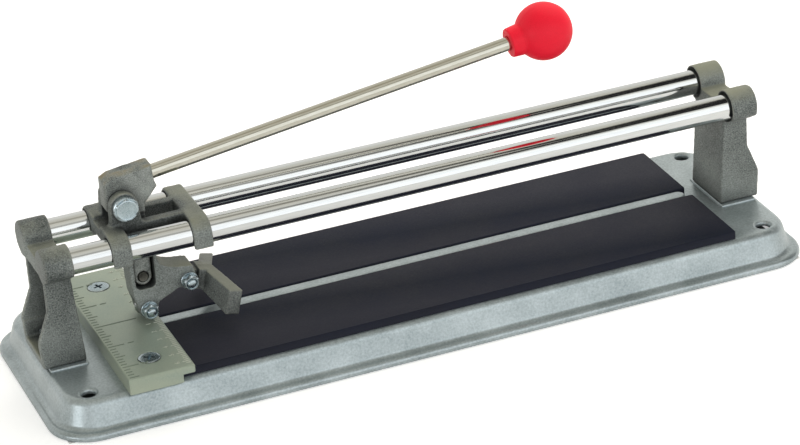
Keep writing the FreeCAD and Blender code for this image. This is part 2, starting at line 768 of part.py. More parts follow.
def carriage():
    """Casting with two yokes astride the rails, joined by two walls that carry the pivot ears."""
    body = new_body("carriage")
    slot_half = rail_radius + rail_gap
    yoke_radius = as_length(yoke_rise)
    crown_z = rail_height + yoke_rise
    soffit_z = crown_z - crown_thickness
    leg_inner = rail_y - slot_half - inner_leg_wall
    leg_z = rail_height - inner_leg_drop
    hook_z = rail_height - yoke_drop
    outer_y = rail_y + yoke_radius
    half = [(leg_inner, soffit_z), (leg_inner, leg_z), (rail_y, leg_z), (rail_y, hook_z), (outer_y, hook_z),
            (outer_y, rail_height), (rail_y, crown_z, yoke_radius)]
    yokes = ((yoke_left_x, yoke_left_width), (yoke_right_x, yoke_right_width))
    for start, width in yokes:
        pad(body, outline(sketch_on(body, "YZ_Plane", start), mirrored(half)), width)
    faces = [place for start, width in yokes for place in (start, start + width)]

    def on_crown(edge):
        """An edge of a yoke's end faces that is above the rails and not under the crown."""
        start, middle, end = points_of(edge)
        return (any(lies_in(edge, "x", face) for face in faces) and middle.z > rail_height.number
                and abs(middle.z - soffit_z.number) > SAME_PLACE
                and abs(start.y) + abs(end.y) > 2 * leg_inner.number + SHORT_EDGE)

    fillet(body, carriage_round, on_crown)
    wall_top = crown_z - web_drop
    for low_y in (ear_inner, -ear_outer):
        wall = rectangle(sketch_on(body, "YZ_Plane", yoke_left_x + cut_margin),
                         low_y, soffit_z, low_y + ear_wall, wall_top)
        pad(body, wall, yoke_right_x - yoke_left_x)
    ear_low = wall_top - ear_root
    ears = [(pivot_x - ear_radius - ear_spread_left, ear_low),
            (pivot_x + ear_radius + ear_spread_right, ear_low),
            (pivot_x + ear_radius, pivot_z), (pivot_x - ear_radius, pivot_z)]
    pad(body, outline(sketch_on(body, "XZ_Plane"), ears), ear_outer * 2, both_ways=True)
    pad(body, circles(sketch_on(body, "XZ_Plane"), [(pivot_x, pivot_z)], ear_radius), ear_outer * 2,
        both_ways=True)
    window_left = yoke_left_x + yoke_left_width
    saddle_z = crown_z - saddle_dip
    above = pivot_z + ear_radius + cut_margin
    saddle = rectangle(sketch_on(body, "XZ_Plane"), yoke_left_x - cut_margin, saddle_z, yoke_right_x, above)
    pocket(body, saddle, ear_inner * 2, both_ways=True)
    window = rectangle(sketch_on(body, "XZ_Plane"), window_left, soffit_z - cut_margin, yoke_right_x, above)
    pocket(body, window, ear_inner * 2, both_ways=True)
    slots = circles(sketch_on(body, "YZ_Plane", yoke_left_x - cut_margin), [(rail_y * side, rail_height)
                    for side in (1, -1)], slot_half)
    through = yoke_right_x + yoke_right_width - yoke_left_x + cut_margin * 2
    pocket(body, slots, through, turned=True)
    for side in (1, -1):
        mouth = rectangle(sketch_on(body, "YZ_Plane", yoke_left_x - cut_margin),
                          rail_y * side - slot_half, hook_z - cut_margin,
                          rail_y * side + slot_half, rail_height)
        pocket(body, mouth, through, turned=True)
    bore = circles(sketch_on(body, "XZ_Plane"), [(pivot_x, pivot_z)], large_shank + hole_play)
    pocket(body, bore, ear_outer * 2 + cut_margin, both_ways=True)
    return body


def pivot_fasteners():
    """Flanged pivot bolt from the front, with a washer and a nut at the rear."""
    front = (pivot_x, -ear_outer, pivot_z)
    rear = (pivot_x, ear_outer, pivot_z)
    head_base = step_along(front, "front", flange_height)
    length = ear_outer * 2 + washer_height + large_nut_height + thread_stub
    named("pivot_bolt", fuse([cylinder(flange_radius, flange_height, front, "front"),
                              hexagon(large_hex, large_head_height, head_base, "front"),
                              cylinder(large_shank, length + flange_height, head_base, "rear")]))
    named("pivot_washer", washer(large_washer_radius, large_shank, rear, "rear"))
    named("pivot_nut", nut(large_hex, large_shank, large_nut_height, step_along(rear, "rear", washer_height),
                           "rear"))


# ---------------------------------------------------------------- lever, rod and knob

def along_rod(thing, distance):
    """Puts a primitive on the rod's axis, a distance from where the rod leaves the head."""
    thing.Placement = FreeCAD.Placement(FreeCAD.Vector(), FreeCAD.Rotation(FreeCAD.Vector(0, 1, 0), 90))
    bind(thing, "Placement.Base.x", pivot_x + rod_root_x + cosine(rod_pitch) * distance)
    bind(thing, "Placement.Base.y", 0)
    bind(thing, "Placement.Base.z", pivot_z + rod_root_rise + sine(rod_pitch) * distance)
    bind(thing, "Placement.Rotation.Angle", 90 - rod_pitch)
    return thing


def rod_cylinder(radius, start, end):
    return along_rod(cylinder(radius, as_length(end) - start, (0, 0, 0)), as_length(start))


def from_pivot(offsets):
    return [(pivot_x + x, pivot_z + z) for x, z in offsets]


def lever_head():
    """Lever casting: the rod's socket above, the pivot bore, and a tongue down between the rails."""
    body = new_body("lever_casting")
    tongue_x = pin_x - pivot_x
    half = tongue_width / 2
    top = from_pivot([(-head_back, -head_chin_drop), (-head_back, head_shoulder_rise),
                      (head_shoulder_run - head_back, head_top_back), (head_front, head_top_front),
                      (head_brow, head_brow_rise), (head_nose, head_nose_rise),
                      (tongue_x + half, -head_chin_drop), (tongue_x + half, -head_stem_drop),
                      (tongue_x - half, -head_stem_drop)])
    pad(body, outline(sketch_on(body, "XZ_Plane"), top), head_thickness, both_ways=True)
    cheeks = [head_thickness / 2 * side for side in (1, -1)]
    fillet(body, head_round, lambda edge: any(lies_in(edge, "y", cheek) for cheek in cheeks))
    pad(body, circles(sketch_on(body, "XZ_Plane"), [(pivot_x, pivot_z)], head_hub_radius), head_thickness,
        both_ways=True)
    stem = rectangle(sketch_on(body, "XZ_Plane"), pin_x - half, pin_z, pin_x + half, pivot_z - head_chin_drop)
    pad(body, stem, tongue_thickness, both_ways=True)
    pad(body, circles(sketch_on(body, "XZ_Plane"), [(pin_x, pin_z)], half), tongue_thickness, both_ways=True)
    pivot_bore = circles(sketch_on(body, "XZ_Plane"), [(pivot_x, pivot_z)], large_shank + shaft_play)
    pocket(body, pivot_bore, head_thickness + cut_margin, both_ways=True)
    pin_bore = circles(sketch_on(body, "XZ_Plane"), [(pin_x, pin_z)], holder_pin_radius + hole_play)
    pocket(body, pin_bore, tongue_thickness + cut_margin, both_ways=True)
    return named("lever_head", cut(body, rod_cylinder(rod_radius + shaft_play, -rod_socket, head_stem_drop)))


def rod_and_knob():
    """Rod from the head's socket into a threaded insert inside the ball."""
    neck_start = rod_reach - knob_radius - knob_neck_length
    insert_start = neck_start + knob_lip
    insert_end = insert_start + insert_length
    rod_end = insert_end - rod_end_gap * 2
    named("lever_rod", rod_cylinder(rod_radius, -rod_socket + rod_end_gap, rod_end))
    ball = DOCUMENT.addObject("Part::Sphere", "ball")
    bind(ball, "Radius", knob_radius)
    shell = fuse([along_rod(ball, rod_reach), rod_cylinder(knob_neck_radius, neck_start, rod_reach)])
    cavity = fuse([rod_cylinder(rod_radius + hole_play, neck_start - cut_margin, insert_start + cut_margin),
                   rod_cylinder(insert_radius + shaft_play, insert_start, insert_end)])
    named("ball_knob", cut(shell, cavity))
    named("knob_insert", cut(rod_cylinder(insert_radius, insert_start, insert_end),
                             rod_cylinder(rod_radius + shaft_play, neck_start, rod_end)))


# ---------------------------------------------------------------- wheel holder, wheel and breaker foot

def wheel_holder():
    """Boomerang casting: a recess for the tongue, a forked leg for the wheel, a forked arm for the foot."""
    body = new_body("wheel_holder")
    left = pin_x - tongue_width / 2 - tongue_gap - holder_side_wall
    slot_left = pin_x - tongue_width / 2 - tongue_gap
    slot_right = pin_x + tongue_width / 2 + recess_gap
    top_z = pivot_z - holder_top
    shape = [(left, top_z), (left + leg_taper, wheel_z + leg_bend_rise),
             (wheel_axis_x - leg_end_radius, wheel_z),
             (wheel_axis_x + leg_end_radius, wheel_z), (wheel_axis_x + crotch_run, wheel_z + crotch_rise),
             (foot_axis_x - arm_under_run, foot_axis_z - arm_under_drop),
             (foot_axis_x, foot_axis_z - foot_boss_radius), (foot_axis_x + foot_boss_radius, foot_axis_z),
             (foot_axis_x + arm_end_run, foot_axis_z + arm_end_rise),
             (foot_axis_x - arm_top_run, foot_axis_z + arm_top_rise),
             (foot_axis_x - arm_dip_run, foot_axis_z + arm_dip_rise),
             (slot_right + arm_root_run, foot_axis_z + arm_root_rise), (slot_right + leg_taper, top_z)]
    pad(body, outline(sketch_on(body, "XZ_Plane"), shape), holder_thickness, both_ways=True)
    pad(body, circles(sketch_on(body, "XZ_Plane"), [(wheel_axis_x, wheel_z)], leg_end_radius),
        holder_thickness, both_ways=True)
    pad(body, circles(sketch_on(body, "XZ_Plane"), [(foot_axis_x, foot_axis_z)], foot_boss_radius),
        holder_thickness, both_ways=True)
    recess_low = pin_z - tongue_width / 2 - recess_gap
    corner_z = recess_low + recess_round
    recess = [(slot_left, top_z + cut_margin), (slot_left, corner_z),
              (slot_left + recess_round, recess_low, recess_round), (slot_right - recess_round, recess_low),
              (slot_right, corner_z, recess_round), (slot_right, top_z + cut_margin)]
    pocket(body, outline(sketch_on(body, "XZ_Plane", holder_thickness / 2), recess),
           holder_thickness - holder_back_wall)
    fork = rectangle(sketch_on(body, "XZ_Plane"), left - cut_margin, wheel_z - wheel_radius - fork_gap,
                     wheel_axis_x + wheel_radius + fork_gap, wheel_z + wheel_radius + fork_gap)
    pocket(body, fork, wheel_thickness + wheel_side_gap * 2, both_ways=True)
    arm_slot = rectangle(sketch_on(body, "XZ_Plane"), foot_axis_x - arm_slot_back,
                         foot_axis_z - arm_slot_back, foot_axis_x + foot_boss_radius + cut_margin,
                         foot_axis_z + arm_slot_rise)
    pocket(body, arm_slot, foot_tongue_thickness + wheel_side_gap * 2, both_ways=True)
    for x, z, radius in ((wheel_axis_x, wheel_z, small_shank), (foot_axis_x, foot_axis_z, small_shank),
                         (pin_x, pin_z, holder_pin_radius)):
        bore = circles(sketch_on(body, "XZ_Plane"), [(x, z)], radius + hole_play)
        pocket(body, bore, holder_thickness + cut_margin, both_ways=True)
    return body


def holder_pin():
    start = -(tongue_thickness / 2) - pin_gap
    length = holder_thickness / 2 - start
    return named("holder_pin", cylinder(holder_pin_radius, length, (pin_x, start, pin_z), "rear"))


def cross_bolt(name, x, z):
    """A small bolt from the rear through the holder, with a washer at each side and a nut in front."""
    half = holder_thickness / 2
    rear, front = (x, half, z), (x, -half, z)
    length = holder_thickness + washer_height * 2 + small_nut_height + thread_stub
    named(name + "_bolt", bolt(small_hex, small_head_height, small_shank, length,
                               step_along(rear, "rear", washer_height), "rear"))
    group(name + "_washers", [washer(small_washer_radius, small_shank, rear, "rear"),
                              washer(small_washer_radius, small_shank, front, "front")])
    named(name + "_nut", nut(small_hex, small_shank, small_nut_height,
                             step_along(front, "front", washer_height), "front"))


def scoring_wheel():
    """Hardened wheel with a V edge, free on its bolt."""
    half = wheel_thickness / 2
    core = cylinder(wheel_radius - wheel_edge, wheel_thickness, (wheel_axis_x, -half, wheel_z), "rear")
    bevels = [cone(wheel_radius - wheel_edge * 2, wheel_radius, half, (wheel_axis_x, -half, wheel_z), "rear"),
              cone(wheel_radius - wheel_edge * 2, wheel_radius, half, (wheel_axis_x, half, wheel_z), "front")]
    bore = cylinder(small_shank + shaft_play, wheel_thickness, (wheel_axis_x, -half, wheel_z), "rear")
    return named("scoring_wheel", cut(fuse([core] + bevels), bore))


def breaker_foot():
    """V-shaped pressing foot, drawn level about its own bolt and then pitched."""
    body = new_body("breaker_foot")
    top, low = foot_hub_height, foot_hub_height - foot_hub_depth
    near = foot_wing_start
    sections = []
    for side in (-1, 0, 1):
        sweep, drop, deepen = (foot_sweep, foot_droop, foot_deepening) if side else (0, 0, 0)
        sections.append(rectangle(sketch_on(body, "XZ_Plane", foot_half_span * side), near + sweep,
                                  low - drop - deepen, near + sweep + foot_thickness, top - drop))
    wings = body.newObject("PartDesign::AdditiveLoft", "wings")
    wings.Profile = sections[0]
    wings.Sections = sections[1:]
    wings.Ruled = True
    DOCUMENT.recompute()
    fillet(body, foot_round, lambda edge: any(lies_in(edge, "y", foot_half_span * side) for side in (-1, 1)))
    hub_half = foot_hub_height - foot_hub_inset
    hub_end = near + foot_thickness / 2
    hub = rectangle(sketch_on(body, "XZ_Plane"), foot_hub_start, -hub_half, hub_end, hub_half)
    pad(body, hub, foot_hub_width, both_ways=True)
    tongue = rectangle(sketch_on(body, "XZ_Plane"), 0, -foot_tongue_half,
                       foot_hub_start + cut_margin, foot_tongue_half)
    pad(body, tongue, foot_tongue_thickness, both_ways=True)
    pad(body, circles(sketch_on(body, "XZ_Plane"), [(0, 0)], foot_tongue_half), foot_tongue_thickness,
        both_ways=True)
    bore = circles(sketch_on(body, "XZ_Plane"), [(0, 0)], small_shank + shaft_play)
    pocket(body, bore, foot_tongue_thickness + cut_margin, both_ways=True)
    body.Placement = FreeCAD.Placement(FreeCAD.Vector(), FreeCAD.Rotation(FreeCAD.Vector(0, 1, 0), 1))
    bind(body, "Placement.Base.x", foot_axis_x)
    bind(body, "Placement.Base.z", foot_axis_z)
    bind(body, "Placement.Rotation.Angle", foot_pitch)
    return body


# ---------------------------------------------------------------- build, check and write

def build():
    base_plate()
    for label, side in (("front_mat", -1), ("rear_mat", 1)):
        mat(label, side)
    ruler_stop()
    ruler_fasteners()
    end_bracket("right_bracket", False)
    end_bracket("left_bracket", True)
    bracket_fasteners()
    rail("front_rail", -1)
    rail("rear_rail", 1)
    carriage()
    pivot_fasteners()
    lever_head()
    rod_and_knob()
    wheel_holder()
    holder_pin()
    cross_bolt("wheel", wheel_axis_x, wheel_z)
    scoring_wheel()
    breaker_foot()
    cross_bolt("breaker", foot_axis_x, foot_axis_z)
    DOCUMENT.recompute()


NODES = {
    "base_plate": 1, "front_mat": 1, "rear_mat": 1, "ruler_stop": 1, "ruler_screws": 2, "ruler_washers": 2,
    "ruler_nuts": 2, "left_bracket": 1, "right_bracket": 1, "bracket_bolts": 4, "bracket_washers": 4,
    "bracket_nut_washers": 4, "bracket_nuts": 4, "front_rail": 1, "rear_rail": 1, "carriage": 1,
    "pivot_bolt": 1, "pivot_washer": 1, "pivot_nut": 1, "lever_head": 1, "lever_rod": 1, "ball_knob": 1,
    "knob_insert": 1, "wheel_holder": 1, "holder_pin": 1, "wheel_bolt": 1, "wheel_washers": 2, "wheel_nut": 1,
    "scoring_wheel": 1, "breaker_foot": 1, "breaker_bolt": 1, "breaker_washers": 2, "breaker_nut": 1,
}


def check():
    faults = [f"{thing.Name} of {thing.Label}: {thing.State}" for thing in DOCUMENT.Objects
              if "Invalid" in thing.State or "Error" in thing.State]
    for label, solids in NODES.items():
        shape = DOCUMENT.getObjectsByLabel(label)[0].Shape
        if shape.isNull() or not shape.isValid() or len(shape.Solids) != solids:
            faults.append(f"{label}: null {shape.isNull()}, solids {len(shape.Solids)}")
    if faults:
        raise RuntimeError("; ".join(faults))


def write():
    os.makedirs("parts", exist_ok=True)
    for label in NODES:
        DOCUMENT.getObjectsByLabel(label)[0].Shape.exportStep(f"parts/{label}.step")


build()
check()
write()
print(len(NODES), "sub-parts written")
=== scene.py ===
import math

import bmesh
import bpy
from mathutils import Matrix, Vector, noise


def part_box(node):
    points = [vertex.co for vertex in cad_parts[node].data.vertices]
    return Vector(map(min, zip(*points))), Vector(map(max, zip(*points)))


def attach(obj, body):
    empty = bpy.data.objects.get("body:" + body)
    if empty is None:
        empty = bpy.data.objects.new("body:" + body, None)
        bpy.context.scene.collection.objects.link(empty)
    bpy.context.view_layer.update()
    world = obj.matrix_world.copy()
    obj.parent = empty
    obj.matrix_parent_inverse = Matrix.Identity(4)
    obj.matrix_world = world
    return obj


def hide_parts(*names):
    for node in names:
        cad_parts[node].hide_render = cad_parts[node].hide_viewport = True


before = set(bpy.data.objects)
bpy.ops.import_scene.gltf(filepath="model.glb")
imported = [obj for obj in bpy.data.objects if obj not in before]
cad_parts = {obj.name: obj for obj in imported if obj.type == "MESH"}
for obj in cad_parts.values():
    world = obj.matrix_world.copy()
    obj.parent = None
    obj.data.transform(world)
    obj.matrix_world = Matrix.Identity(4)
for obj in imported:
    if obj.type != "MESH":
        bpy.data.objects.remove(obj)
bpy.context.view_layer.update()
MM = 0.001


# ---------------------------------------------------------------- tray
# Deep-drawn sheet steel tray with a rolled lip, sprayed with silver metallic paint.
# The rib, the seats of the end castings and the rims of the bench holes are pressed into it.

def linear(code):
    """The linear colour of an sRGB hex code."""
    shares = [int(code[place:place + 2], 16) / 255 for place in (0, 2, 4)]
    return [share / 12.92 if share <= 0.04045 else ((share + 0.055) / 1.055) ** 2.4
            for share in shares] + [1]


def add_node(tree, kind, settings, links=()):
    """Adds a node. A key of settings or links is one of its attributes, or an input's name or number."""
    node = tree.nodes.new("ShaderNode" + kind)
    for key, value in settings.items():
        if isinstance(key, str) and hasattr(node, key):
            setattr(node, key, value)
        else:
            node.inputs[key].default_value = value
    for key, source in dict(links).items():
        tree.links.new(source, node.inputs[key])
    return node


def surface(name, colours, roughness, grain, relief, patch=25, stretch=(1, 1, 1), worn=None, dust_top_light_and_shade=None,
            **settings):
    """A material whose colour, roughness and relief follow a grain of a real size in millimetres.

    colours and roughness each hold the two ends of a range. The grain is mixed with broad patches, and
    stretch draws both out along an axis. worn is the colour that raised edges have been rubbed to. The pair
    of colours after worn, where given, is laid on: the first as dust and painted top light, on faces that
    look up in the open where the patches are pale, and the second as painted shade in corners and hollows."""
    material = bpy.data.materials.new(name)
    material.use_nodes = True
    tree = material.node_tree
    shader = tree.nodes["Principled BSDF"]
    for key, value in settings.items():
        shader.inputs[key.replace("_", " ")].default_value = value
    place = add_node(tree, "TexCoord", {})
    per_millimetre = [1 / MM / length for length in stretch]
    scaled = add_node(tree, "VectorMath", {"operation": "MULTIPLY", 1: per_millimetre},
                      {0: place.outputs["Object"]})
    vector = {"Vector": scaled.outputs[0]}
    fine = add_node(tree, "TexNoise", {"Scale": 1 / grain, "Detail": 3.0, "Roughness": 0.6}, vector)
    broad = add_node(tree, "TexNoise", {"Scale": 1 / patch, "Detail": 4.0, "Roughness": 0.55}, vector)
    both = add_node(tree, "Math", {"operation": "ADD"}, {0: fine.outputs[0], 1: broad.outputs[0]})
    spread = {"From Min": 0.7, "From Max": 1.3}
    share = add_node(tree, "MapRange", spread, {"Value": both.outputs[0]})
    tint = add_node(tree, "Mix", {"data_type": "RGBA", 6: linear(colours[0]), 7: linear(colours[1])},
                    {0: share.outputs[0]})
    layers = []
    # Dust and painted top light: faces that look up, in the open and where the patches are pale, take the
    # first colour.
    if dust_top_light_and_shade:
        hollow_reach = 20 * MM
        openness = add_node(tree, "AmbientOcclusion", {"Distance": hollow_reach, "samples": 8})
        in_open = add_node(tree, "MapRange", {"From Min": 0.6, "From Max": 0.85},
                           {"Value": openness.outputs["AO"]})
        upward = add_node(tree, "SeparateXYZ", {}, {0: place.outputs["Normal"]})
        level = add_node(tree, "MapRange", {"From Min": 0.3, "From Max": 0.95},
                         {"Value": upward.outputs["Z"]})
        pale = add_node(tree, "MapRange", {"From Min": 0.38, "From Max": 0.56}, {"Value": broad.outputs[0]})
        lying = add_node(tree, "Math", {"operation": "MULTIPLY"}, {0: level.outputs[0], 1: pale.outputs[0]})
        dust_and_top_light = add_node(tree, "Math", {"operation": "MULTIPLY"},
                           {0: lying.outputs[0], 1: in_open.outputs[0]})
        layers.append((dust_top_light_and_shade[0], dust_and_top_light))
    if worn:
        bulge = add_node(tree, "NewGeometry", {})
        rubbed = add_node(tree, "MapRange", {"From Min": 0.52, "From Max": 0.62, "To Max": 0.7},
                          {"Value": bulge.outputs["Pointiness"]})
        layers.append((worn, rubbed))
    # Painted shade: corners and hollows, where ambient occlusion finds them closed in, darken towards the
    # second colour.
    if dust_top_light_and_shade:
        painted_shade = add_node(tree, "MapRange", {"From Min": 0.3, "From Max": 0.9, "To Min": 0.85, "To Max": 0.0},
                          {"Value": openness.outputs["AO"]})
        layers.append((dust_top_light_and_shade[1], painted_shade))
    colour = tint
    for code, cover in layers:
        colour = add_node(tree, "Mix", {"data_type": "RGBA", 7: linear(code)},
                          {0: cover.outputs[0], 6: colour.outputs[2]})
    tree.links.new(colour.outputs[2], shader.inputs["Base Color"])
    gloss = add_node(tree, "MapRange", {**spread, "To Min": roughness[0], "To Max": roughness[1]},
                     {"Value": both.outputs[0]})
    tree.links.new(gloss.outputs[0], shader.inputs["Roughness"])
    bump = add_node(tree, "Bump", {"Distance": relief * MM}, {"Height": fine.outputs[0]})
    tree.links.new(bump.outputs[0], shader.inputs["Normal"])
    return material


# Metallic paint: aluminium flake in a clear binder gives a soft, wide highlight, and the spray leaves
# orange peel about 1.2 mm across.
silver_paint = surface("silver_metallic_paint", ("929da0", "bec8cb"), (0.3, 0.4), grain=1.2, relief=0.03,
                       Metallic=0.7, Coat_Weight=0.3, Coat_Roughness=0.12)


def rounded_path(corners, steps=6):
    """A path through corners (across, up) in a plane. A corner's third value is the radius of its arc."""
    path = []
    for index, corner in enumerate(corners):
        here = Vector(corner[:2])
        if len(corner) == 2:
            path.append(here)
            continue
        radius = corner[2]
        before = (Vector(corners[index - 1][:2]) - here).normalized()
        after = (Vector(corners[(index + 1) % len(corners)][:2]) - here).normalized()
        half = before.angle(after) / 2
        centre = here + (before + after).normalized() * radius / math.sin(half)
        reach = radius / math.tan(half)
        start, end = here + before * reach - centre, here + after * reach - centre
        for step in range(steps + 1):
            path.append(centre + start.lerp(end, step / steps).normalized() * radius)
    return path


def rounded_rectangle(half_x, half_y, radius, steps=14):
    """The outline of a rounded rectangle round the origin, with a number of steps in each corner."""
    points = []
    for turn, (side_x, side_y) in enumerate(((1, 1), (-1, 1), (-1, -1), (1, -1))):
        for step in range(steps + 1):
            angle = math.radians(90 * (turn + step / steps))
            points.append(((half_x - radius) * side_x + radius * math.cos(angle),
                           (half_y - radius) * side_y + radius * math.sin(angle)))
    return points


def loft(form, rings, closed=False):
    """Faces between rings of equally many points; the first and last ring are filled unless closed."""
    loops = [[form.verts.new(point) for point in ring] for ring in rings]
    count = len(loops[0])
    following_loops = loops[1:] + loops[:1] if closed else loops[1:]
    for low, high in zip(loops, following_loops):
        for index in range(count):
            following = (index + 1) % count
            form.faces.new((low[index], low[following], high[following], high[index]))
    if not closed:
        form.faces.new(loops[0][::-1])
        form.faces.new(loops[-1])


def join(form, part, place=Matrix()):
    """Adds one closed form to another, put at its place, and frees it."""
    part.transform(place)
    carrier = bpy.data.meshes.new("carrier")
    part.to_mesh(carrier)
    part.free()
    form.from_mesh(carrier)
    bpy.data.meshes.remove(carrier)


def slab(form, outline, low, high, bevel):
    """A plate of a given outline from low to high, with its sharp edges rounded except the lowest."""
    sharp_turn, hair = 0.6, 1e-6
    part = bmesh.new()
    loft(part, [[(x, y, z) for x, y in outline] for z in (low, high)])
    part.normal_update()
    edges = [edge for edge in part.edges if edge.calc_face_angle(0) > sharp_turn
             and max(vert.co.z for vert in edge.verts) > low + hair]
    bmesh.ops.bevel(part, geom=edges, offset=bevel, segments=3, profile=0.5, affect="EDGES",
                    clamp_overlap=True)
    join(form, part)


def new_piece(name, form, material, body, nodes, crease=35):
    """Makes a form, drawn in millimetres, into a piece that rides on a body and stands for CAD nodes."""
    form.transform(Matrix.Scale(MM, 4))
    bmesh.ops.recalc_face_normals(form, faces=form.faces)
    for face in form.faces:
        face.smooth = True
    for edge in form.edges:
        edge.smooth = edge.calc_face_angle(0) < math.radians(crease)
    mesh = bpy.data.meshes.new(name)
    form.to_mesh(mesh)
    form.free()
    mesh.materials.append(material)
    piece = bpy.data.objects.new(name, mesh)
    bpy.context.collection.objects.link(piece)
    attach(piece, body)
    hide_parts(*nodes)
    return piece


def apply_modifiers(piece):
    """Makes what the piece's modifiers give its own mesh."""
    graph = bpy.context.evaluated_depsgraph_get()
    graph.update()
    finished = bpy.data.meshes.new_from_object(piece.evaluated_get(graph))
    plain = piece.data
    piece.modifiers.clear()
    piece.data = finished
    bpy.data.meshes.remove(plain)


def drill(piece, drills, crease=35):
    """Cuts a form, drawn in millimetres, out of a piece."""
    drills.transform(Matrix.Scale(MM, 4))
    bmesh.ops.recalc_face_normals(drills, faces=drills.faces)
    mesh = bpy.data.meshes.new("drills")
    drills.to_mesh(mesh)
    drills.free()
    tool = bpy.data.objects.new("drills", mesh)
    bpy.context.collection.objects.link(tool)
    cut = piece.modifiers.new("cut", "BOOLEAN")
    cut.operation = "DIFFERENCE"
    cut.object = tool
    cut.solver = "EXACT"
    apply_modifiers(piece)
    piece.data.set_sharp_from_angle(angle=math.radians(crease))
    bpy.data.objects.remove(tool)
    bpy.data.meshes.remove(mesh)


def turned(form, profile, place, flats=None, thread=None, segments=48, closed=False):
    """A turned form round the Z axis of place, from a profile of (radius, height) points.

    flats limits it to a hexagon of that width, as a bar that was turned after it was drawn. thread is
    (start, end, pitch, depth) of a screw thread along a stretch whose radius is the profile's. The
    profile of a closed form, such as a ring, ends where it starts."""
    part = bmesh.new()
    rings = []
    for radius, height in profile:
        ring = []
        for step in range(segments):
            angle = 2 * math.pi * step / segments
            here = radius
            if thread and thread[0] <= height <= thread[1]:
                pitch, depth = thread[2:]
                here -= abs((height / pitch - step / segments) % 1 - 0.5) * 2 * depth
            if flats:
                from_flat = (angle + math.pi / 6) % (math.pi / 3) - math.pi / 6
                here = min(here, flats / 2 / math.cos(from_flat))
            ring.append((here * math.cos(angle), here * math.sin(angle), height))
        rings.append(ring)
    loft(part, rings, closed)
    join(form, part, place)


def upright(x, y, z):
    return Matrix.Translation((x, y, z))


def size_of(node):
    """A CAD node's box in millimetres: its lowest and highest corner."""
    return [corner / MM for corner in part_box(node)]


tray_high = size_of("base_plate")[1]
mat_low, mat_high = size_of("front_mat")
plateau, rib_top = mat_low.z, tray_high.z
half_long, half_wide = tray_high.x, tray_high.y
lip_rise, wall_foot, wall_inset, flat_inset, sheet = 4, 5, 9, 17, 1.5
lip_corner, top_corner = 25, 20

crown = plateau - sheet
section = rounded_path([
    (flat_inset, crown), (wall_inset + sheet, crown, 3.5), (wall_foot + sheet, lip_rise - sheet, 4.5),
    (sheet, lip_rise - sheet, 1), (sheet, 0, 0.5), (0, 0, 0.5), (0, lip_rise, 2.5), (wall_foot, lip_rise, 3),
    (wall_inset, plateau, 5), (flat_inset, plateau)], steps=7)
rings = []
for inset, height in section:
    corner = lip_corner - min(inset, wall_inset) * (lip_corner - top_corner) / wall_inset
    corner -= max(inset - wall_inset, 0)
    ring = rounded_rectangle(half_long - inset, half_wide - inset, corner)
    rings.append([(x, y, height) for x, y in ring])
tray_form = bmesh.new()
loft(tray_form, rings)
tray = new_piece("tray", tray_form, silver_paint, "base", ["base_plate"])

# The bench holes. A pressed rim leads into each, and its section goes on through the sheet.
hole_x, hole_y, hole_radius, rim_radius, rim_drop = 202, 52, 4, 6, 1.2
rim = [(rim_radius + 0.3, 0.02), (rim_radius - 0.2, 0.12), (hole_radius + 1, -0.15),
       (hole_radius + 0.35, -0.55), (hole_radius, -rim_drop), (hole_radius, -rim_drop - sheet),
       (rim_radius + 0.3, -sheet - 0.02)]
drills, pressings = bmesh.new(), bmesh.new()
for side_x in (1, -1):
    for side_y in (1, -1):
        x, y = hole_x * side_x, hole_y * side_y
        turned(drills, [(rim_radius, crown - 2), (rim_radius, plateau + 2)], upright(x, y, 0))
        turned(pressings, rim, upright(x, y, plateau), closed=True)
drill(tray, drills)

# The rib between the mats, and the seats of the castings. Both start a little below the plateau.
pressing_root = plateau - 0.5
rib_start, rib_half, rib_end = mat_low.x, 4.4, 178
nose = [(rib_end - rib_half + rib_half * math.cos(angle), rib_half * math.sin(angle))
        for angle in [math.radians(15 * step - 90) for step in range(13)]]
slab(pressings, [(rib_start, rib_half), (rib_start, -rib_half), *nose], pressing_root, rib_top, bevel=1.1)
casting_low = size_of("right_bracket")[0]
seat_half, seat_margin, seat_to_wall = 21, 0.2, 2.5
for side in (1, -1):
    near, far = (casting_low.x - seat_margin) * side, (half_long - wall_inset - seat_to_wall) * side
    corners = [(near, -seat_half), (far, -seat_half), (far, seat_half), (near, seat_half)]
    slab(pressings, corners[::side], pressing_root, casting_low.z, bevel=0.8)
new_piece("tray_pressings", pressings, silver_paint, "base", [])


# ---------------------------------------------------------------- mats
# Two moulded rubber mats, laid on the plateau at each side of the rib. Black rubber with a little
# filler is dull and slightly bluish, with moulded specks and edges that are scuffed a little paler.

black_rubber = surface("black_rubber", ("0a0e1a", "141a2b"), (0.6, 0.8), grain=0.9, relief=0.08, patch=40,
                       worn="33333c", Specular_IOR_Level=0.2)
mat_corner, mat_edge = 1.6, 0.7
for node, name in (("front_mat", "front_rubber_mat"), ("rear_mat", "rear_rubber_mat")):
    low, high = size_of(node)
    centre = (low + high) / 2
    outline = rounded_rectangle((high.x - low.x) / 2, (high.y - low.y) / 2, mat_corner, steps=5)
    mat_form = bmesh.new()
    slab(mat_form, [(x + centre.x, y + centre.y) for x, y in outline], low.z, high.z, bevel=mat_edge)
    new_piece(name, mat_form, black_rubber, "base", [node])


# ---------------------------------------------------------------- ruler stop
# Die-cast alloy bar with a lip over the mats' ends, painted grey-green. Its scales stand a little proud
# of the face: the inch marks are a duller, darker grey-green than the face, and the centimetre marks pale
# alloy.

ruler_paint = surface("satin_grey_green_paint", ("87978e", "a2ad9d"), (0.3, 0.42), grain=0.8, relief=0.03,
                      patch=30, worn="a9b09c", Metallic=0.25, Coat_Weight=0.2, Coat_Roughness=0.2)
dull_paint = surface("dull_grey_green_paint", ("6c786d", "7d8878"), (0.4, 0.55), grain=0.8, relief=0.03)
pale_alloy = surface("pale_mark_alloy", ("b4b8aa", "cdd1c6"), (0.35, 0.5), grain=0.6, relief=0.02, Metallic=0.3)

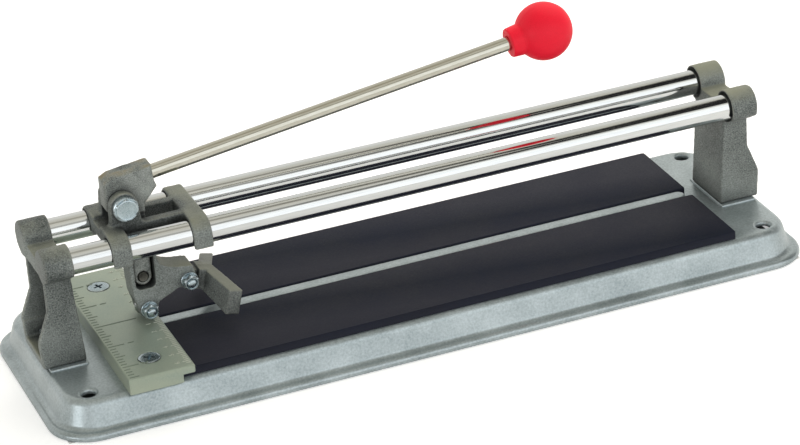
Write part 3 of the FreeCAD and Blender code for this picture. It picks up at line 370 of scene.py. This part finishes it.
ruler_low, ruler_high = size_of("ruler_stop")
ruler_top = ruler_high.z
mat_gap, ruler_edge, end_chamfer = 0.2, 0.8, 0.6
lip_root, lip_under = rib_start - mat_gap, mat_high.z + mat_gap
profile = rounded_path([
    (ruler_low.x, plateau), (lip_root, plateau), (lip_root, lip_under), (ruler_high.x, lip_under),
    (ruler_high.x, ruler_top, ruler_edge), (ruler_low.x, ruler_top, ruler_edge)], steps=4)
end_rings = []
for end, drawn_in in ((-1, end_chamfer), (-1, 0), (1, 0), (1, end_chamfer)):
    y = ruler_high.y * end - (end_chamfer - drawn_in) * end
    left, right = ruler_low.x + drawn_in, ruler_high.x - drawn_in
    end_rings.append([(min(max(point.x, left), right), y, min(point.y, ruler_top - drawn_in))
                      for point in profile])
ruler_form = bmesh.new()
loft(ruler_form, end_rings)
ruler = new_piece("ruler", ruler_form, ruler_paint, "base", ["ruler_stop"])

screw_low, screw_high = size_of("ruler_screws")
screw_head = 6
screw_x, screw_y = (screw_low.x + screw_high.x) / 2, screw_high.y - screw_head
screw_bore, sink_radius, sink_depth = 2.8, screw_head + 0.7, 3.9
sinks = bmesh.new()
for side in (1, -1):
    turned(sinks, [(screw_bore, -12), (screw_bore, -sink_depth), (sink_radius, 0), (sink_radius, 2)],
           upright(screw_x, screw_y * side, ruler_top))
drill(ruler, sinks)

inch = 25.4
eighth = inch / 8
mark_rise, mark_root = 0.22, 0.1
inch_marks, metric_marks = bmesh.new(), bmesh.new()


def mark(marks, start_x, end_x, y, width=0.75):
    """One raised line across the ruler's face."""
    low_x, high_x = min(start_x, end_x), max(start_x, end_x)
    low_y, high_y = y - width / 2, y + width / 2
    slab(marks, [(low_x, low_y), (high_x, low_y), (high_x, high_y), (low_x, high_y)],
         ruler_top - mark_root, ruler_top + mark_rise, bevel=0.12)


def clear_of_screw(x, y):
    return min(math.hypot(x - screw_x, y - screw_y * side) for side in (1, -1)) > screw_head + 1.5


def number(marks, value, x, y, height, turn):
    """One raised plain number, turned about the vertical by an angle in degrees."""
    text = bpy.data.curves.new("number", "FONT")
    text.body = str(value)
    text.size = height
    text.extrude = mark_rise
    text.align_x = text.align_y = "CENTER"
    carrier = bpy.data.objects.new("number", text)
    bpy.context.collection.objects.link(carrier)
    bpy.context.view_layer.update()
    mesh = bpy.data.meshes.new_from_object(carrier.evaluated_get(bpy.context.evaluated_depsgraph_get()))
    digit = bmesh.new()
    digit.from_mesh(mesh)
    join(marks, digit, upright(x, y, ruler_top) @ Matrix.Rotation(math.radians(turn), 4, "Z"))
    bpy.data.objects.remove(carrier)
    bpy.data.curves.remove(text)
    bpy.data.meshes.remove(mesh)


left_edge, right_edge = ruler_low.x + 1, ruler_high.x - 1
inch_reach, half_reach, eighth_reach, centre_reach = 9, 5.5, 3.5, 24
for step in range(-20, 21):
    reach = inch_reach if step % 8 == 0 else half_reach if step % 4 == 0 else eighth_reach
    mark(inch_marks, left_edge, left_edge + reach, step * eighth)
mark(inch_marks, left_edge + inch_reach, left_edge + centre_reach, 0, width=0.9)
for inches in (1, 2):
    for side in (1, -1):
        number(inch_marks, inches, left_edge + 12.5, inches * inch * side, height=5, turn=-90)
centimetre_reach, fine_reach = 4.2, 2.6
for step in range(-62, 63, 2):
    reach = centimetre_reach if step % 10 == 0 else fine_reach
    mark(metric_marks, right_edge, right_edge - reach, step, width=0.6)
digit_x = right_edge - 7
for centimetres in range(1, 7):
    for side in (1, -1):
        y = centimetres * 10 * side
        if clear_of_screw(digit_x, y):
            number(metric_marks, centimetres, digit_x, y, height=4, turn=90)
new_piece("inch_scale", inch_marks, dull_paint, "base", [])
new_piece("centimetre_scale", metric_marks, pale_alloy, "base", [])


# ---------------------------------------------------------------- ruler screws
# Countersunk cross-head screws through the ruler and the tray, each with a washer and a nut beneath.
# Bright zinc plate on steel: cool and a little blue, softly mottled.

zinc_plate = surface("bright_zinc_plate", ("98a8ae", "bccad0"), (0.2, 0.36), grain=0.7, relief=0.02, patch=6,
                     worn="dfe6ea", Metallic=1.0)


def hex_height(flats, height):
    """The profile of a nut or a bolt's head: a hexagon's corners chamfered at 30 degrees, both ends."""
    chamfer, corner = 0.93 * flats / 2, flats / math.sqrt(3)
    fall = (corner - chamfer) * math.tan(math.radians(30))
    return [(chamfer, 0), (corner, fall), (corner, height - fall), (chamfer, height)]


def nut(form, flats, bore, height, place):
    """A chamfered hexagon nut, countersunk at the outer end of its bore."""
    sink_width, sink_depth = 0.7, 0.6
    mouth = [(bore + sink_width, height), (bore - 0.1, height - sink_depth)]
    turned(form, hex_height(flats, height) + mouth, place, flats)


def washer(form, radius, thickness, place):
    edge = 0.15
    turned(form, [(radius - edge, 0), (radius, edge), (radius, thickness - edge), (radius - edge, thickness)],
           place)


def shank(form, radius, start, end, place, pitch=1.0):
    """A bolt's shank from start up to end, with a thread on its last stretch."""
    depth, steps, threaded, run_out = 0.35, 8, 9, 0.4
    thread_start, thread_end = max(start, end - threaded), end - run_out
    count = int((end - run_out - thread_start) / pitch * steps)
    profile = [(radius, start), (radius, thread_start - 0.01)]
    profile += [(radius, thread_start + pitch * step / steps) for step in range(count)]
    profile += [(radius - depth, end - run_out / 2), (radius - depth - 0.3, end)]
    turned(form, profile, place, thread=(thread_start, thread_end, pitch, depth))


def facing(base, direction):
    """The place of a form whose Z axis points in a direction."""
    return Matrix.Translation(base) @ Vector(direction).to_track_quat("Z", "Y").to_matrix().to_4x4()


DOWN, FRONT, REAR, RIGHT = (0, 0, -1), (0, -1, 0), (0, 1, 0), (1, 0, 0)
small_flats, small_shank, small_washer, small_pitch = 8, 2.5, 5, 0.8
large_flats, large_shank, large_washer = 10, 3, 6
washer_height = 1

screw_profile = [(small_shank, -3.5), (screw_head - 0.15, -0.25), (screw_head, -0.1),
                 (screw_head - 0.2, 0.05), (screw_head - 1.6, 0.22)]
screw_form = bmesh.new()
for side in (1, -1):
    turned(screw_form, screw_profile, upright(screw_x, screw_y * side, ruler_top))
screws = new_piece("cross_head_screws", screw_form, zinc_plate, "base", ["ruler_screws"])

recess = bmesh.new()
arm, width, recess_depth = 2.9, 0.65, 1.8
cross = [(arm, width), (width, width), (width, arm), (-width, arm), (-width, width), (-arm, width),
         (-arm, -width), (-width, -width), (-width, -arm), (width, -arm), (width, -width), (arm, -width)]
for side, turn in ((1, 20), (-1, 65)):
    blade = bmesh.new()
    loft(blade, [[(x, y, z) for x, y in cross] for z in (-recess_depth, 1)])
    join(recess, blade,
         upright(screw_x, screw_y * side, ruler_top) @ Matrix.Rotation(math.radians(turn), 4, "Z"))
drill(screws, recess)

washer_low = size_of("ruler_washers")[0]
nut_low, nut_high = size_of("ruler_nuts")
shank_top = ruler_top - 3
under_form = bmesh.new()
for side in (1, -1):
    x, y = screw_x, screw_y * side
    washer(under_form, small_washer, washer_height, upright(x, y, washer_low.z))
    nut(under_form, small_flats, small_shank, nut_high.z - nut_low.z, facing((x, y, nut_high.z), DOWN))
    shank(under_form, small_shank, 0, shank_top - screw_low.z, facing((x, y, shank_top), DOWN), small_pitch)
new_piece("ruler_nuts_and_washers", under_form, zinc_plate, "base",
          ["ruler_washers", "ruler_nuts"])


# ---------------------------------------------------------------- end castings
# Iron castings, each with two rail bosses on a hollow column that is open on its outer side. They are
# fettled, shot-blasted and painted thinly, so the sand's grain shows and edges are worn paler.

# Faces that look up get a pale olive that is dust and painted top light both, and corners and hollows get
# painted shade.
grey_casting = surface("painted_grey_iron_casting", ("292f2f", "a4aaa6"), (0.4, 0.66), grain=0.8, relief=0.3,
                       patch=60, worn="a6a499", dust_top_light_and_shade=("8f9181", "1c1e1f"), Metallic=0.35)


def cast_piece(name, node, material, body, voxel=0.7, passes=4, unevenness=0.14, mouths=None):
    """A copy of a CAD casting with edges softened as a mould leaves them, and an uneven skin. mouths is a
    form that is cut away first."""
    form = bmesh.new()
    form.from_mesh(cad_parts[node].data)
    bmesh.ops.remove_doubles(form, verts=form.verts, dist=1e-6)
    form.transform(Matrix.Scale(1 / MM, 4))
    piece = new_piece(name, form, material, body, [node])
    if mouths:
        drill(piece, mouths)
    remesh = piece.modifiers.new("remesh", "REMESH")
    remesh.mode = "VOXEL"
    remesh.voxel_size = voxel * MM
    soften = piece.modifiers.new("soften", "SMOOTH")
    soften.iterations = passes
    apply_modifiers(piece)
    bump_size, finer = 3.5, 2.7
    moved = []
    for vertex in piece.data.vertices:
        spot = vertex.co / MM / bump_size
        depth = noise.noise(spot) + 0.5 * noise.noise(spot * finer)
        moved.extend(vertex.co + vertex.normal * depth * unevenness * MM)
    piece.data.vertices.foreach_set("co", moved)
    piece.data.shade_smooth()
    return piece


rail_low, rail_high = size_of("front_rail")
rail_y, rail_z = -(rail_low.y + rail_high.y) / 2, (rail_low.z + rail_high.z) / 2
socket_radius, socket_face = (rail_high.z - rail_low.z) / 2, casting_low.x + 3.5
mouth_profile = [(socket_radius + 1.6, -1), (socket_radius + 1.6, 0.4), (socket_radius + 1, 2.5)]
for node, name, side in (("left_bracket", "left_end_casting", -1), ("right_bracket", "right_end_casting", 1)):
    mouths = bmesh.new()
    for y in (-rail_y, rail_y):
        turned(mouths, mouth_profile, facing((socket_face * side, y, rail_z), (side, 0, 0)))
    cast_piece(name, node, grey_casting, "base", mouths=mouths)

# Two bolts hold each casting, with a washer under the head and a washer and a nut beneath the tray.
under_low, under_high = size_of("bracket_nut_washers")
bolt_x, bolt_y = under_high.x - large_washer, under_high.y - large_washer
washer_low, washer_high = size_of("bracket_washers")
nut_low, nut_high = size_of("bracket_nuts")
bolt_low, bolt_high = size_of("bracket_bolts")
head_base = washer_high.z
bolt_form = bmesh.new()
for side_x in (1, -1):
    for side_y in (1, -1):
        x, y = bolt_x * side_x, bolt_y * side_y
        washer(bolt_form, large_washer, washer_height, upright(x, y, washer_low.z))
        turned(bolt_form, hex_height(large_flats, bolt_high.z - head_base), upright(x, y, head_base),
               large_flats)
        washer(bolt_form, large_washer, washer_height, upright(x, y, under_low.z))
        nut(bolt_form, large_flats, large_shank, nut_high.z - nut_low.z, facing((x, y, nut_high.z), DOWN))
        shank(bolt_form, large_shank, 0, head_base - bolt_low.z, facing((x, y, head_base), DOWN))
new_piece("casting_bolts", bolt_form, zinc_plate, "base",
          ["bracket_bolts", "bracket_washers", "bracket_nut_washers", "bracket_nuts"])


# ---------------------------------------------------------------- rails
# Cold-drawn steel bars, ground and chrome plated. They mirror what is round them, drawn out along
# the bar, with the faintest lines left by grinding.

chrome = surface("polished_chrome_plate", ("d3d5d6", "e6e8e8"), (0.05, 0.11), grain=0.5, relief=0.004,
                 stretch=(30, 1, 1), Metallic=1.0)


def bar_profile(radius, length, chamfer, steps):
    """The profile of a round bar with chamfered ends, and a number of steps along it."""
    along = [chamfer + (length - 2 * chamfer) * step / steps for step in range(steps + 1)]
    return [(radius - chamfer, 0), *[(radius, place) for place in along], (radius - chamfer, length)]


for node, name in (("front_rail", "front_chrome_rail"), ("rear_rail", "rear_chrome_rail")):
    low, high = size_of(node)
    rail_form = bmesh.new()
    turned(rail_form, bar_profile((high.z - low.z) / 2, high.x - low.x, chamfer=0.6, steps=24),
           facing((low.x, (low.y + high.y) / 2, (low.z + high.z) / 2), RIGHT), segments=96)
    new_piece(name, rail_form, chrome, "base", [node])


# ---------------------------------------------------------------- carriage and pivot bolt
# One iron casting astride both rails, with two ears for the lever. The flanged pivot bolt goes through
# from the front, into a washer and a nut at the rear.

cast_piece("sliding_carriage", "carriage", grey_casting, "carriage")

bolt_low, bolt_high = size_of("pivot_bolt")
nut_low, nut_high = size_of("pivot_nut")
ear_outer = size_of("pivot_washer")[0].y
pivot_x, pivot_z = (bolt_low.x + bolt_high.x) / 2, (bolt_low.z + bolt_high.z) / 2
flange, head_height = (bolt_high.x - bolt_low.x) / 2, -ear_outer - bolt_low.y
head_flats = 11.6
flange_profile = [(flange - 0.5, 0), (flange - 0.5, 2.2), (flange, 2.7), (flange, 3.7), (flange - 0.4, 4.1),
                  (flange - 1, 4.2)]
head_profile = [(flange, 4), (flange, head_height - 0.9), (head_flats / 2 + 0.1, head_height - 0.15),
                (head_flats / 2 - 0.4, head_height), (head_flats / 2 - 0.8, head_height - 0.2)]
pivot_form = bmesh.new()
front_ear = (pivot_x, -ear_outer, pivot_z)
turned(pivot_form, flange_profile, facing(front_ear, FRONT), segments=64)
turned(pivot_form, head_profile, facing(front_ear, FRONT), head_flats, segments=72)
shank(pivot_form, large_shank, 0, bolt_high.y + ear_outer, facing(front_ear, REAR))
new_piece("flanged_pivot_bolt", pivot_form, zinc_plate, "carriage", ["pivot_bolt"])
rear_form = bmesh.new()
washer(rear_form, large_washer, washer_height, facing((pivot_x, ear_outer, pivot_z), REAR))
nut(rear_form, large_flats, large_shank, nut_high.y - nut_low.y, facing((pivot_x, nut_low.y, pivot_z), REAR))
new_piece("pivot_nut_and_washer", rear_form, zinc_plate, "carriage",
          ["pivot_washer", "pivot_nut"])


# ---------------------------------------------------------------- lever
# Iron casting on the pivot bolt, bored for a nickel-plated rod. Its paint is thin and has browned in
# patches, and the rod's plate is warm and bright, with faint lines along it from drawing.

# The brown laid on faces that look up stands for rust and for painted top light both, and hollows get painted
# shade.
browned_casting = surface("browned_grey_iron_casting", ("414745", "bdc2bd"), (0.4, 0.66), grain=0.6,
                          relief=0.3, patch=14, worn="b0ab9a", dust_top_light_and_shade=("8a8064", "1c1e1f"), Metallic=0.35)
cast_piece("lever_casting", "lever_head", browned_casting, "lever", voxel=0.6, passes=3)

nickel = surface("bright_nickel_plate", ("c4c1b4", "d9d7cd"), (0.06, 0.12), grain=0.5, relief=0.006,
                 stretch=(20, 1, 4), Metallic=1.0)
rod_low, rod_high = size_of("lever_rod")
rod_radius = (rod_high.y - rod_low.y) / 2
rod_pitch = math.radians(7.46)
rod_axis = Vector((math.cos(rod_pitch), 0, math.sin(rod_pitch)))
rod_end = Vector((rod_high.x - rod_radius * math.sin(rod_pitch), 0,
                  rod_high.z - rod_radius * math.cos(rod_pitch)))
rod_length = (rod_high.x - rod_low.x) / math.cos(rod_pitch) - 2 * rod_radius * math.tan(rod_pitch)
rod_form = bmesh.new()
turned(rod_form, bar_profile(rod_radius, rod_length, chamfer=0.5, steps=16),
       facing(rod_end - rod_axis * rod_length, rod_axis), segments=64)
new_piece("nickel_lever_rod", rod_form, nickel, "lever", ["lever_rod"])


# ---------------------------------------------------------------- ball knob
# Injection-moulded red plastic ball with a short collar, pressed over a threaded brass insert. It is
# satin, with a faint seam where the mould's halves met.

red_plastic = surface("moulded_red_plastic", ("ee062a", "fb1033"), (0.45, 0.55), grain=0.7, relief=0.02,
                      Specular_IOR_Level=0.3, IOR=1.54)
ball_low, ball_high = size_of("ball_knob")
ball_radius = (ball_high.y - ball_low.y) / 2
ball_centre = Vector((ball_high.x - ball_radius, 0, ball_high.z - ball_radius))
collar_radius, collar_start, bore = 8.5, -ball_radius - 5, rod_radius + 0.3
knob_profile = rounded_path([(bore, collar_start + 0.6), (bore, collar_start),
                             (collar_radius - 0.2, collar_start, 1), (collar_radius + 0.4, collar_start + 6)],
                            steps=5)
join_angle, pole_gap, ball_steps = math.asin((collar_radius + 0.5) / ball_radius), 0.02, 40
for step in range(ball_steps + 1):
    angle = join_angle + (math.pi - join_angle - pole_gap) * step / ball_steps
    knob_profile.append(Vector((ball_radius * math.sin(angle), -ball_radius * math.cos(angle))))
knob_form = bmesh.new()
turned(knob_form, [tuple(point) for point in knob_profile], facing(ball_centre, rod_axis), segments=72)
seam_half, seam_rise = 0.6, 0.12
for vert in knob_form.verts:
    if abs(vert.co.y) < seam_half:
        radial = vert.co - ball_centre
        radial.y = 0
        vert.co += radial.normalized() * seam_rise
new_piece("red_ball_knob", knob_form, red_plastic, "lever", ["ball_knob"], crease=60)

# Turned brass is warm yellow and softly bright. Hardly any of it shows, inside the collar.
turned_brass = surface("turned_brass", ("b08d3e", "c9a550"), (0.25, 0.4), grain=0.5, relief=0.02,
                       Metallic=1.0)
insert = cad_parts["knob_insert"]
insert.data.materials.clear()
insert.data.materials.append(turned_brass)


# ---------------------------------------------------------------- wheel holder and its pins
# Boomerang-shaped iron casting that hangs on the lever's tongue. A drive pin is riveted into its
# back wall, and the leg and the arm are forked and cross-bolted for the wheel and the breaker foot.

cast_piece("wheel_holder_casting", "wheel_holder", grey_casting, "lever", voxel=0.5, passes=3, unevenness=0.1)

# The pin is plain steel with an oily, brownish bloom, rubbed pale at its edge.
dark_steel = surface("oiled_dark_steel", ("4d4d49", "6b6a63"), (0.3, 0.45), grain=0.6, relief=0.03,
                     worn="8d8c84", Metallic=1.0)
pin_low, pin_high = size_of("holder_pin")
pin_radius = (pin_high.x - pin_low.x) / 2
pin_length, pin_edge = pin_high.y - pin_low.y, 0.5
pin_form = bmesh.new()
turned(pin_form, [(pin_radius, 0), (pin_radius, pin_length - pin_edge), (pin_radius - pin_edge, pin_length),
                  (pin_radius - 1.2, pin_length - 0.15)],
       facing(((pin_low.x + pin_high.x) / 2, pin_high.y, (pin_low.z + pin_high.z) / 2), FRONT))
new_piece("riveted_holder_pin", pin_form, dark_steel, "lever", ["holder_pin"])

for part, name in (("wheel", "wheel_cross_bolt"), ("breaker", "breaker_cross_bolt")):
    bolt_low, bolt_high = size_of(part + "_bolt")
    washer_low, washer_high = size_of(part + "_washers")
    nut_low, nut_high = size_of(part + "_nut")
    x, z = (washer_low.x + washer_high.x) / 2, (washer_low.z + washer_high.z) / 2
    front, rear = washer_low.y, washer_high.y
    bolt_form = bmesh.new()
    turned(bolt_form, hex_height(small_flats, bolt_high.y - rear), facing((x, rear, z), REAR), small_flats)
    shank(bolt_form, small_shank, 0, rear - bolt_low.y, facing((x, rear, z), FRONT), small_pitch)
    washer(bolt_form, small_washer, washer_height, facing((x, rear - washer_height, z), REAR))
    washer(bolt_form, small_washer, washer_height, facing((x, front + washer_height, z), FRONT))
    nut(bolt_form, small_flats, small_shank, nut_high.y - nut_low.y, facing((x, nut_high.y, z), FRONT))
    new_piece(name, bolt_form, zinc_plate, "lever",
              [part + "_bolt", part + "_washers", part + "_nut"])


# ---------------------------------------------------------------- scoring wheel
# Hardened steel wheel ground to a V at its edge, free on its bolt between the cheeks of the holder's
# leg. The grinding leaves it bright, with fine lines across the edge.

ground_steel = surface("ground_tool_steel", ("a9abad", "c9cbcd"), (0.18, 0.3), grain=0.4, relief=0.01,
                       stretch=(1, 8, 1), Metallic=1.0)
wheel_low, wheel_high = size_of("scoring_wheel")
wheel_radius, wheel_width = (wheel_high.x - wheel_low.x) / 2, wheel_high.y - wheel_low.y
wheel_bore, bevel_root = small_shank + 0.05, wheel_radius - 1.6
wheel_form = bmesh.new()
turned(wheel_form, [(wheel_bore, 0), (bevel_root, 0), (wheel_radius, wheel_width / 2),
                    (bevel_root, wheel_width), (wheel_bore, wheel_width)],
       facing(((wheel_low.x + wheel_high.x) / 2, wheel_low.y, (wheel_low.z + wheel_high.z) / 2), REAR),
       segments=72)
new_piece("hardened_scoring_wheel", wheel_form, ground_steel, "wheel", ["scoring_wheel"])


# ---------------------------------------------------------------- breaker foot
# V-shaped iron casting on its own bolt in the holder's arm. It presses the tile at both sides of
# the scored line. Its grey is darker than that of the other castings, as painted shade on a foot that
# sits under the holder, and its hollows get painted shade too.

shaded_foot_casting = surface("painted_shade_iron_casting", ("1b1f1f", "8a8f8b"), (0.4, 0.66), grain=0.8, relief=0.3,
                       patch=60, worn="a6a499", dust_top_light_and_shade=("85877a", "101212"))
cast_piece("breaker_foot_casting", "breaker_foot", shaded_foot_casting, "foot", voxel=0.5, unevenness=0.1)


# ---------------------------------------------------------------- studio
# A plain pale floor, lit so that the camera sees it white and plated metal sees it a little brighter,
# under a soft overcast sky with two dark bars that converge to the right, and three soft lamps.

floor_paint = bpy.data.materials.new("pale_floor")
floor_paint.use_nodes = True
tree = floor_paint.node_tree
diffuse = tree.nodes["Principled BSDF"]
diffuse.inputs["Base Color"].default_value = linear("e6e6e6")
diffuse.inputs["Roughness"].default_value = 0.9
# The floor has no glow under the tray, where it would shine up through the bench holes.
tray_margin, share_in_metal, full_glow = 6, 0.25, 0.45
ray = add_node(tree, "LightPath", {})
spot = add_node(tree, "TexCoord", {})
across = add_node(tree, "SeparateXYZ", {}, {0: spot.outputs["Object"]})
beyond = []
for axis, half in (("X", half_long), ("Y", half_wide)):
    away = add_node(tree, "Math", {"operation": "ABSOLUTE"}, {0: across.outputs[axis]})
    beyond.append(add_node(tree, "Math", {"operation": "GREATER_THAN", 1: (half - tray_margin) * MM},
                           {0: away.outputs[0]}).outputs[0])
open_floor = add_node(tree, "Math", {"operation": "MAXIMUM"}, dict(enumerate(beyond)))
in_metal = add_node(tree, "Math", {"operation": "MULTIPLY", 1: share_in_metal},
                    {0: ray.outputs["Is Glossy Ray"]})
seen = add_node(tree, "Math", {"operation": "MAXIMUM"},
                {0: ray.outputs["Is Camera Ray"], 1: in_metal.outputs[0]})
seen_beyond = add_node(tree, "Math", {"operation": "MULTIPLY"},
                       {0: seen.outputs[0], 1: open_floor.outputs[0]})
lift = add_node(tree, "Math", {"operation": "MULTIPLY", 1: full_glow}, {0: seen_beyond.outputs[0]})
glow = add_node(tree, "Emission", {"Color": (1, 1, 1, 1)}, {"Strength": lift.outputs[0]})
both = add_node(tree, "AddShader", {}, {0: diffuse.outputs[0], 1: glow.outputs[0]})
tree.links.new(both.outputs[0], tree.nodes["Material Output"].inputs["Surface"])
floor_mesh = bpy.data.meshes.new("floor")
floor_half, floor_drop = 12, 0.0003
floor_mesh.from_pydata([(x * floor_half, y * floor_half, 0) for x, y in ((-1, -1), (1, -1), (1, 1), (-1, 1))],
                       [], [(0, 1, 2, 3)])
floor = bpy.data.objects.new("floor", floor_mesh)
floor.location.z = -floor_drop
floor_mesh.materials.append(floor_paint)
bpy.context.collection.objects.link(floor)

world = bpy.data.worlds.new("soft_sky")
bpy.context.scene.world = world
world.use_nodes = True
tree = world.node_tree
background = tree.nodes["Background"]
direction = add_node(tree, "TexCoord", {})
axes = add_node(tree, "SeparateXYZ", {}, {0: direction.outputs["Generated"]})
to_right = {"Value": axes.outputs["X"]}
# The sky's tone runs from the front horizon (0) overhead to the rear horizon (1).
to_front = add_node(tree, "Math", {"operation": "MULTIPLY", 1: -1.0}, {0: axes.outputs["Y"]})
climb = add_node(tree, "Math", {"operation": "ARCTAN2"}, {0: axes.outputs["Z"], 1: to_front.outputs[0]})
share = add_node(tree, "MapRange", {"From Min": 0.0, "From Max": math.pi}, {"Value": climb.outputs[0]})
sky = add_node(tree, "ValToRGB", {}, {0: share.outputs[0]})
bands = [(0.0, "e4e5e5"), (0.1, "dcdedf"), (0.15, "d8dada"), (0.22, "d6d6d2"), (0.32, "d2d1c9"),
         (0.52, "c4c0b2"), (0.66, "c6c4ba"), (0.78, "d6d5cf"), (1.0, "dadad8")]
ramp = sky.color_ramp
for place, code in bands[1:-1]:
    ramp.elements.new(place)
for element, (place, code) in zip(ramp.elements, bands):
    element.position = place
    element.color = linear(code)
# The bars lie each side of a middle line. Their distance from it, their width and their depth of tone
# all change towards the right.
middle = add_node(tree, "MapRange", {"From Min": 0.36, "From Max": 0.43, "To Min": 0.405, "To Max": 0.5},
                  to_right)
offset = add_node(tree, "Math", {"operation": "SUBTRACT"}, {0: share.outputs[0], 1: middle.outputs[0]})
from_middle = add_node(tree, "Math", {"operation": "ABSOLUTE"}, {0: offset.outputs[0]})
half_gap = add_node(tree, "MapRange", {"From Min": 0.28, "From Max": 0.385, "To Min": 0.12, "To Max": 0.015},
                    to_right)
offset = add_node(tree, "Math", {"operation": "SUBTRACT"},
                  {0: from_middle.outputs[0], 1: half_gap.outputs[0]})
from_bar = add_node(tree, "Math", {"operation": "ABSOLUTE"}, {0: offset.outputs[0]})
bar_half = add_node(tree, "MapRange", {"From Min": 0.35, "From Max": 0.43, "To Min": 0.03, "To Max": 0.15},
                    to_right)
past_bar = add_node(tree, "Math", {"operation": "SUBTRACT"}, {0: from_bar.outputs[0], 1: bar_half.outputs[0]})
bar = add_node(tree, "MapRange", {"From Min": 0.0, "From Max": 0.025, "To Min": 1.0, "To Max": 0.0},
               {"Value": past_bar.outputs[0]})
depth = add_node(tree, "MapRange", {"From Min": 0.24, "From Max": 0.34, "To Min": 0.35, "To Max": 1.0},
                 to_right)
shade = add_node(tree, "Math", {"operation": "MULTIPLY"}, {0: bar.outputs[0], 1: depth.outputs[0]})
barred = add_node(tree, "Mix", {"data_type": "RGBA", 7: linear("222222")},
                  {0: shade.outputs[0], 6: sky.outputs[0]})
# The left side of the sky is a little dimmer, and the camera itself sees plain white.
side = add_node(tree, "MapRange", {"From Min": -0.6, "From Max": 0.42, "To Min": 0.84, "To Max": 1.0},
                to_right)
dimmed = add_node(tree, "Mix", {"data_type": "RGBA", 6: (0, 0, 0, 1)},
                  {0: side.outputs[0], 7: barred.outputs[2]})
white = add_node(tree, "Mix", {"data_type": "RGBA", 7: (1, 1, 1, 1)},
                 {0: add_node(tree, "LightPath", {}).outputs["Is Camera Ray"], 6: dimmed.outputs[2]})
tree.links.new(white.outputs[2], background.inputs["Color"])
background.inputs["Strength"].default_value = 1.2


def softbox(name, place, aim, width, depth, power, colour, mirrored=True):
    """A soft rectangular lamp that faces a point. Plated metal mirrors it unless told not to."""
    lamp = bpy.data.lights.new(name, "AREA")
    lamp.shape = "RECTANGLE"
    lamp.size, lamp.size_y, lamp.energy = width, depth, power
    lamp.color = colour
    carrier = bpy.data.objects.new(name, lamp)
    carrier.visible_glossy = mirrored
    carrier.location = place
    carrier.rotation_euler = (Vector(aim) - Vector(place)).to_track_quat("-Z", "Y").to_euler()
    bpy.context.collection.objects.link(carrier)


softbox("rear_softbox", (0.9, 0.6, 1.4), (0, 0, 0), 2.0, 1.2, 22, (1.0, 0.97, 0.9), mirrored=False)
softbox("front_softbox", (0.4, -2.0, 0.9), (0, 0, 0.05), 3.8, 1.8, 10, (0.94, 0.98, 1.0))
softbox("left_softbox", (-1.6, -0.66, 0.35), (0, 0, 0.02), 0.7, 0.5, 3, (0.97, 0.99, 1.0))

azimuth, elevation, roll = math.radians(-20.09), math.radians(26.44), math.radians(-4.24)
distance, sideways, upwards = 1832.06, 0.705, 43.21
back = Vector((math.sin(azimuth) * math.cos(elevation), -math.cos(azimuth) * math.cos(elevation),
               math.sin(elevation)))
level = Vector((0, 0, 1)).cross(back).normalized()
rise = back.cross(level)
right = level * math.cos(roll) + rise * math.sin(roll)
above = rise * math.cos(roll) - level * math.sin(roll)
camera = bpy.data.objects.new("camera", bpy.data.cameras.new("camera"))
camera.data.lens = 144.86
camera.data.clip_end = 100
spot = (back * distance + level * sideways + rise * upwards) * MM
turn = Matrix((right, above, back)).transposed().to_4x4()
camera.matrix_world = Matrix.Translation(spot) @ turn
bpy.context.collection.objects.link(camera)
bpy.context.scene.camera = camera
bpy.context.scene.view_settings.view_transform = "Standard"
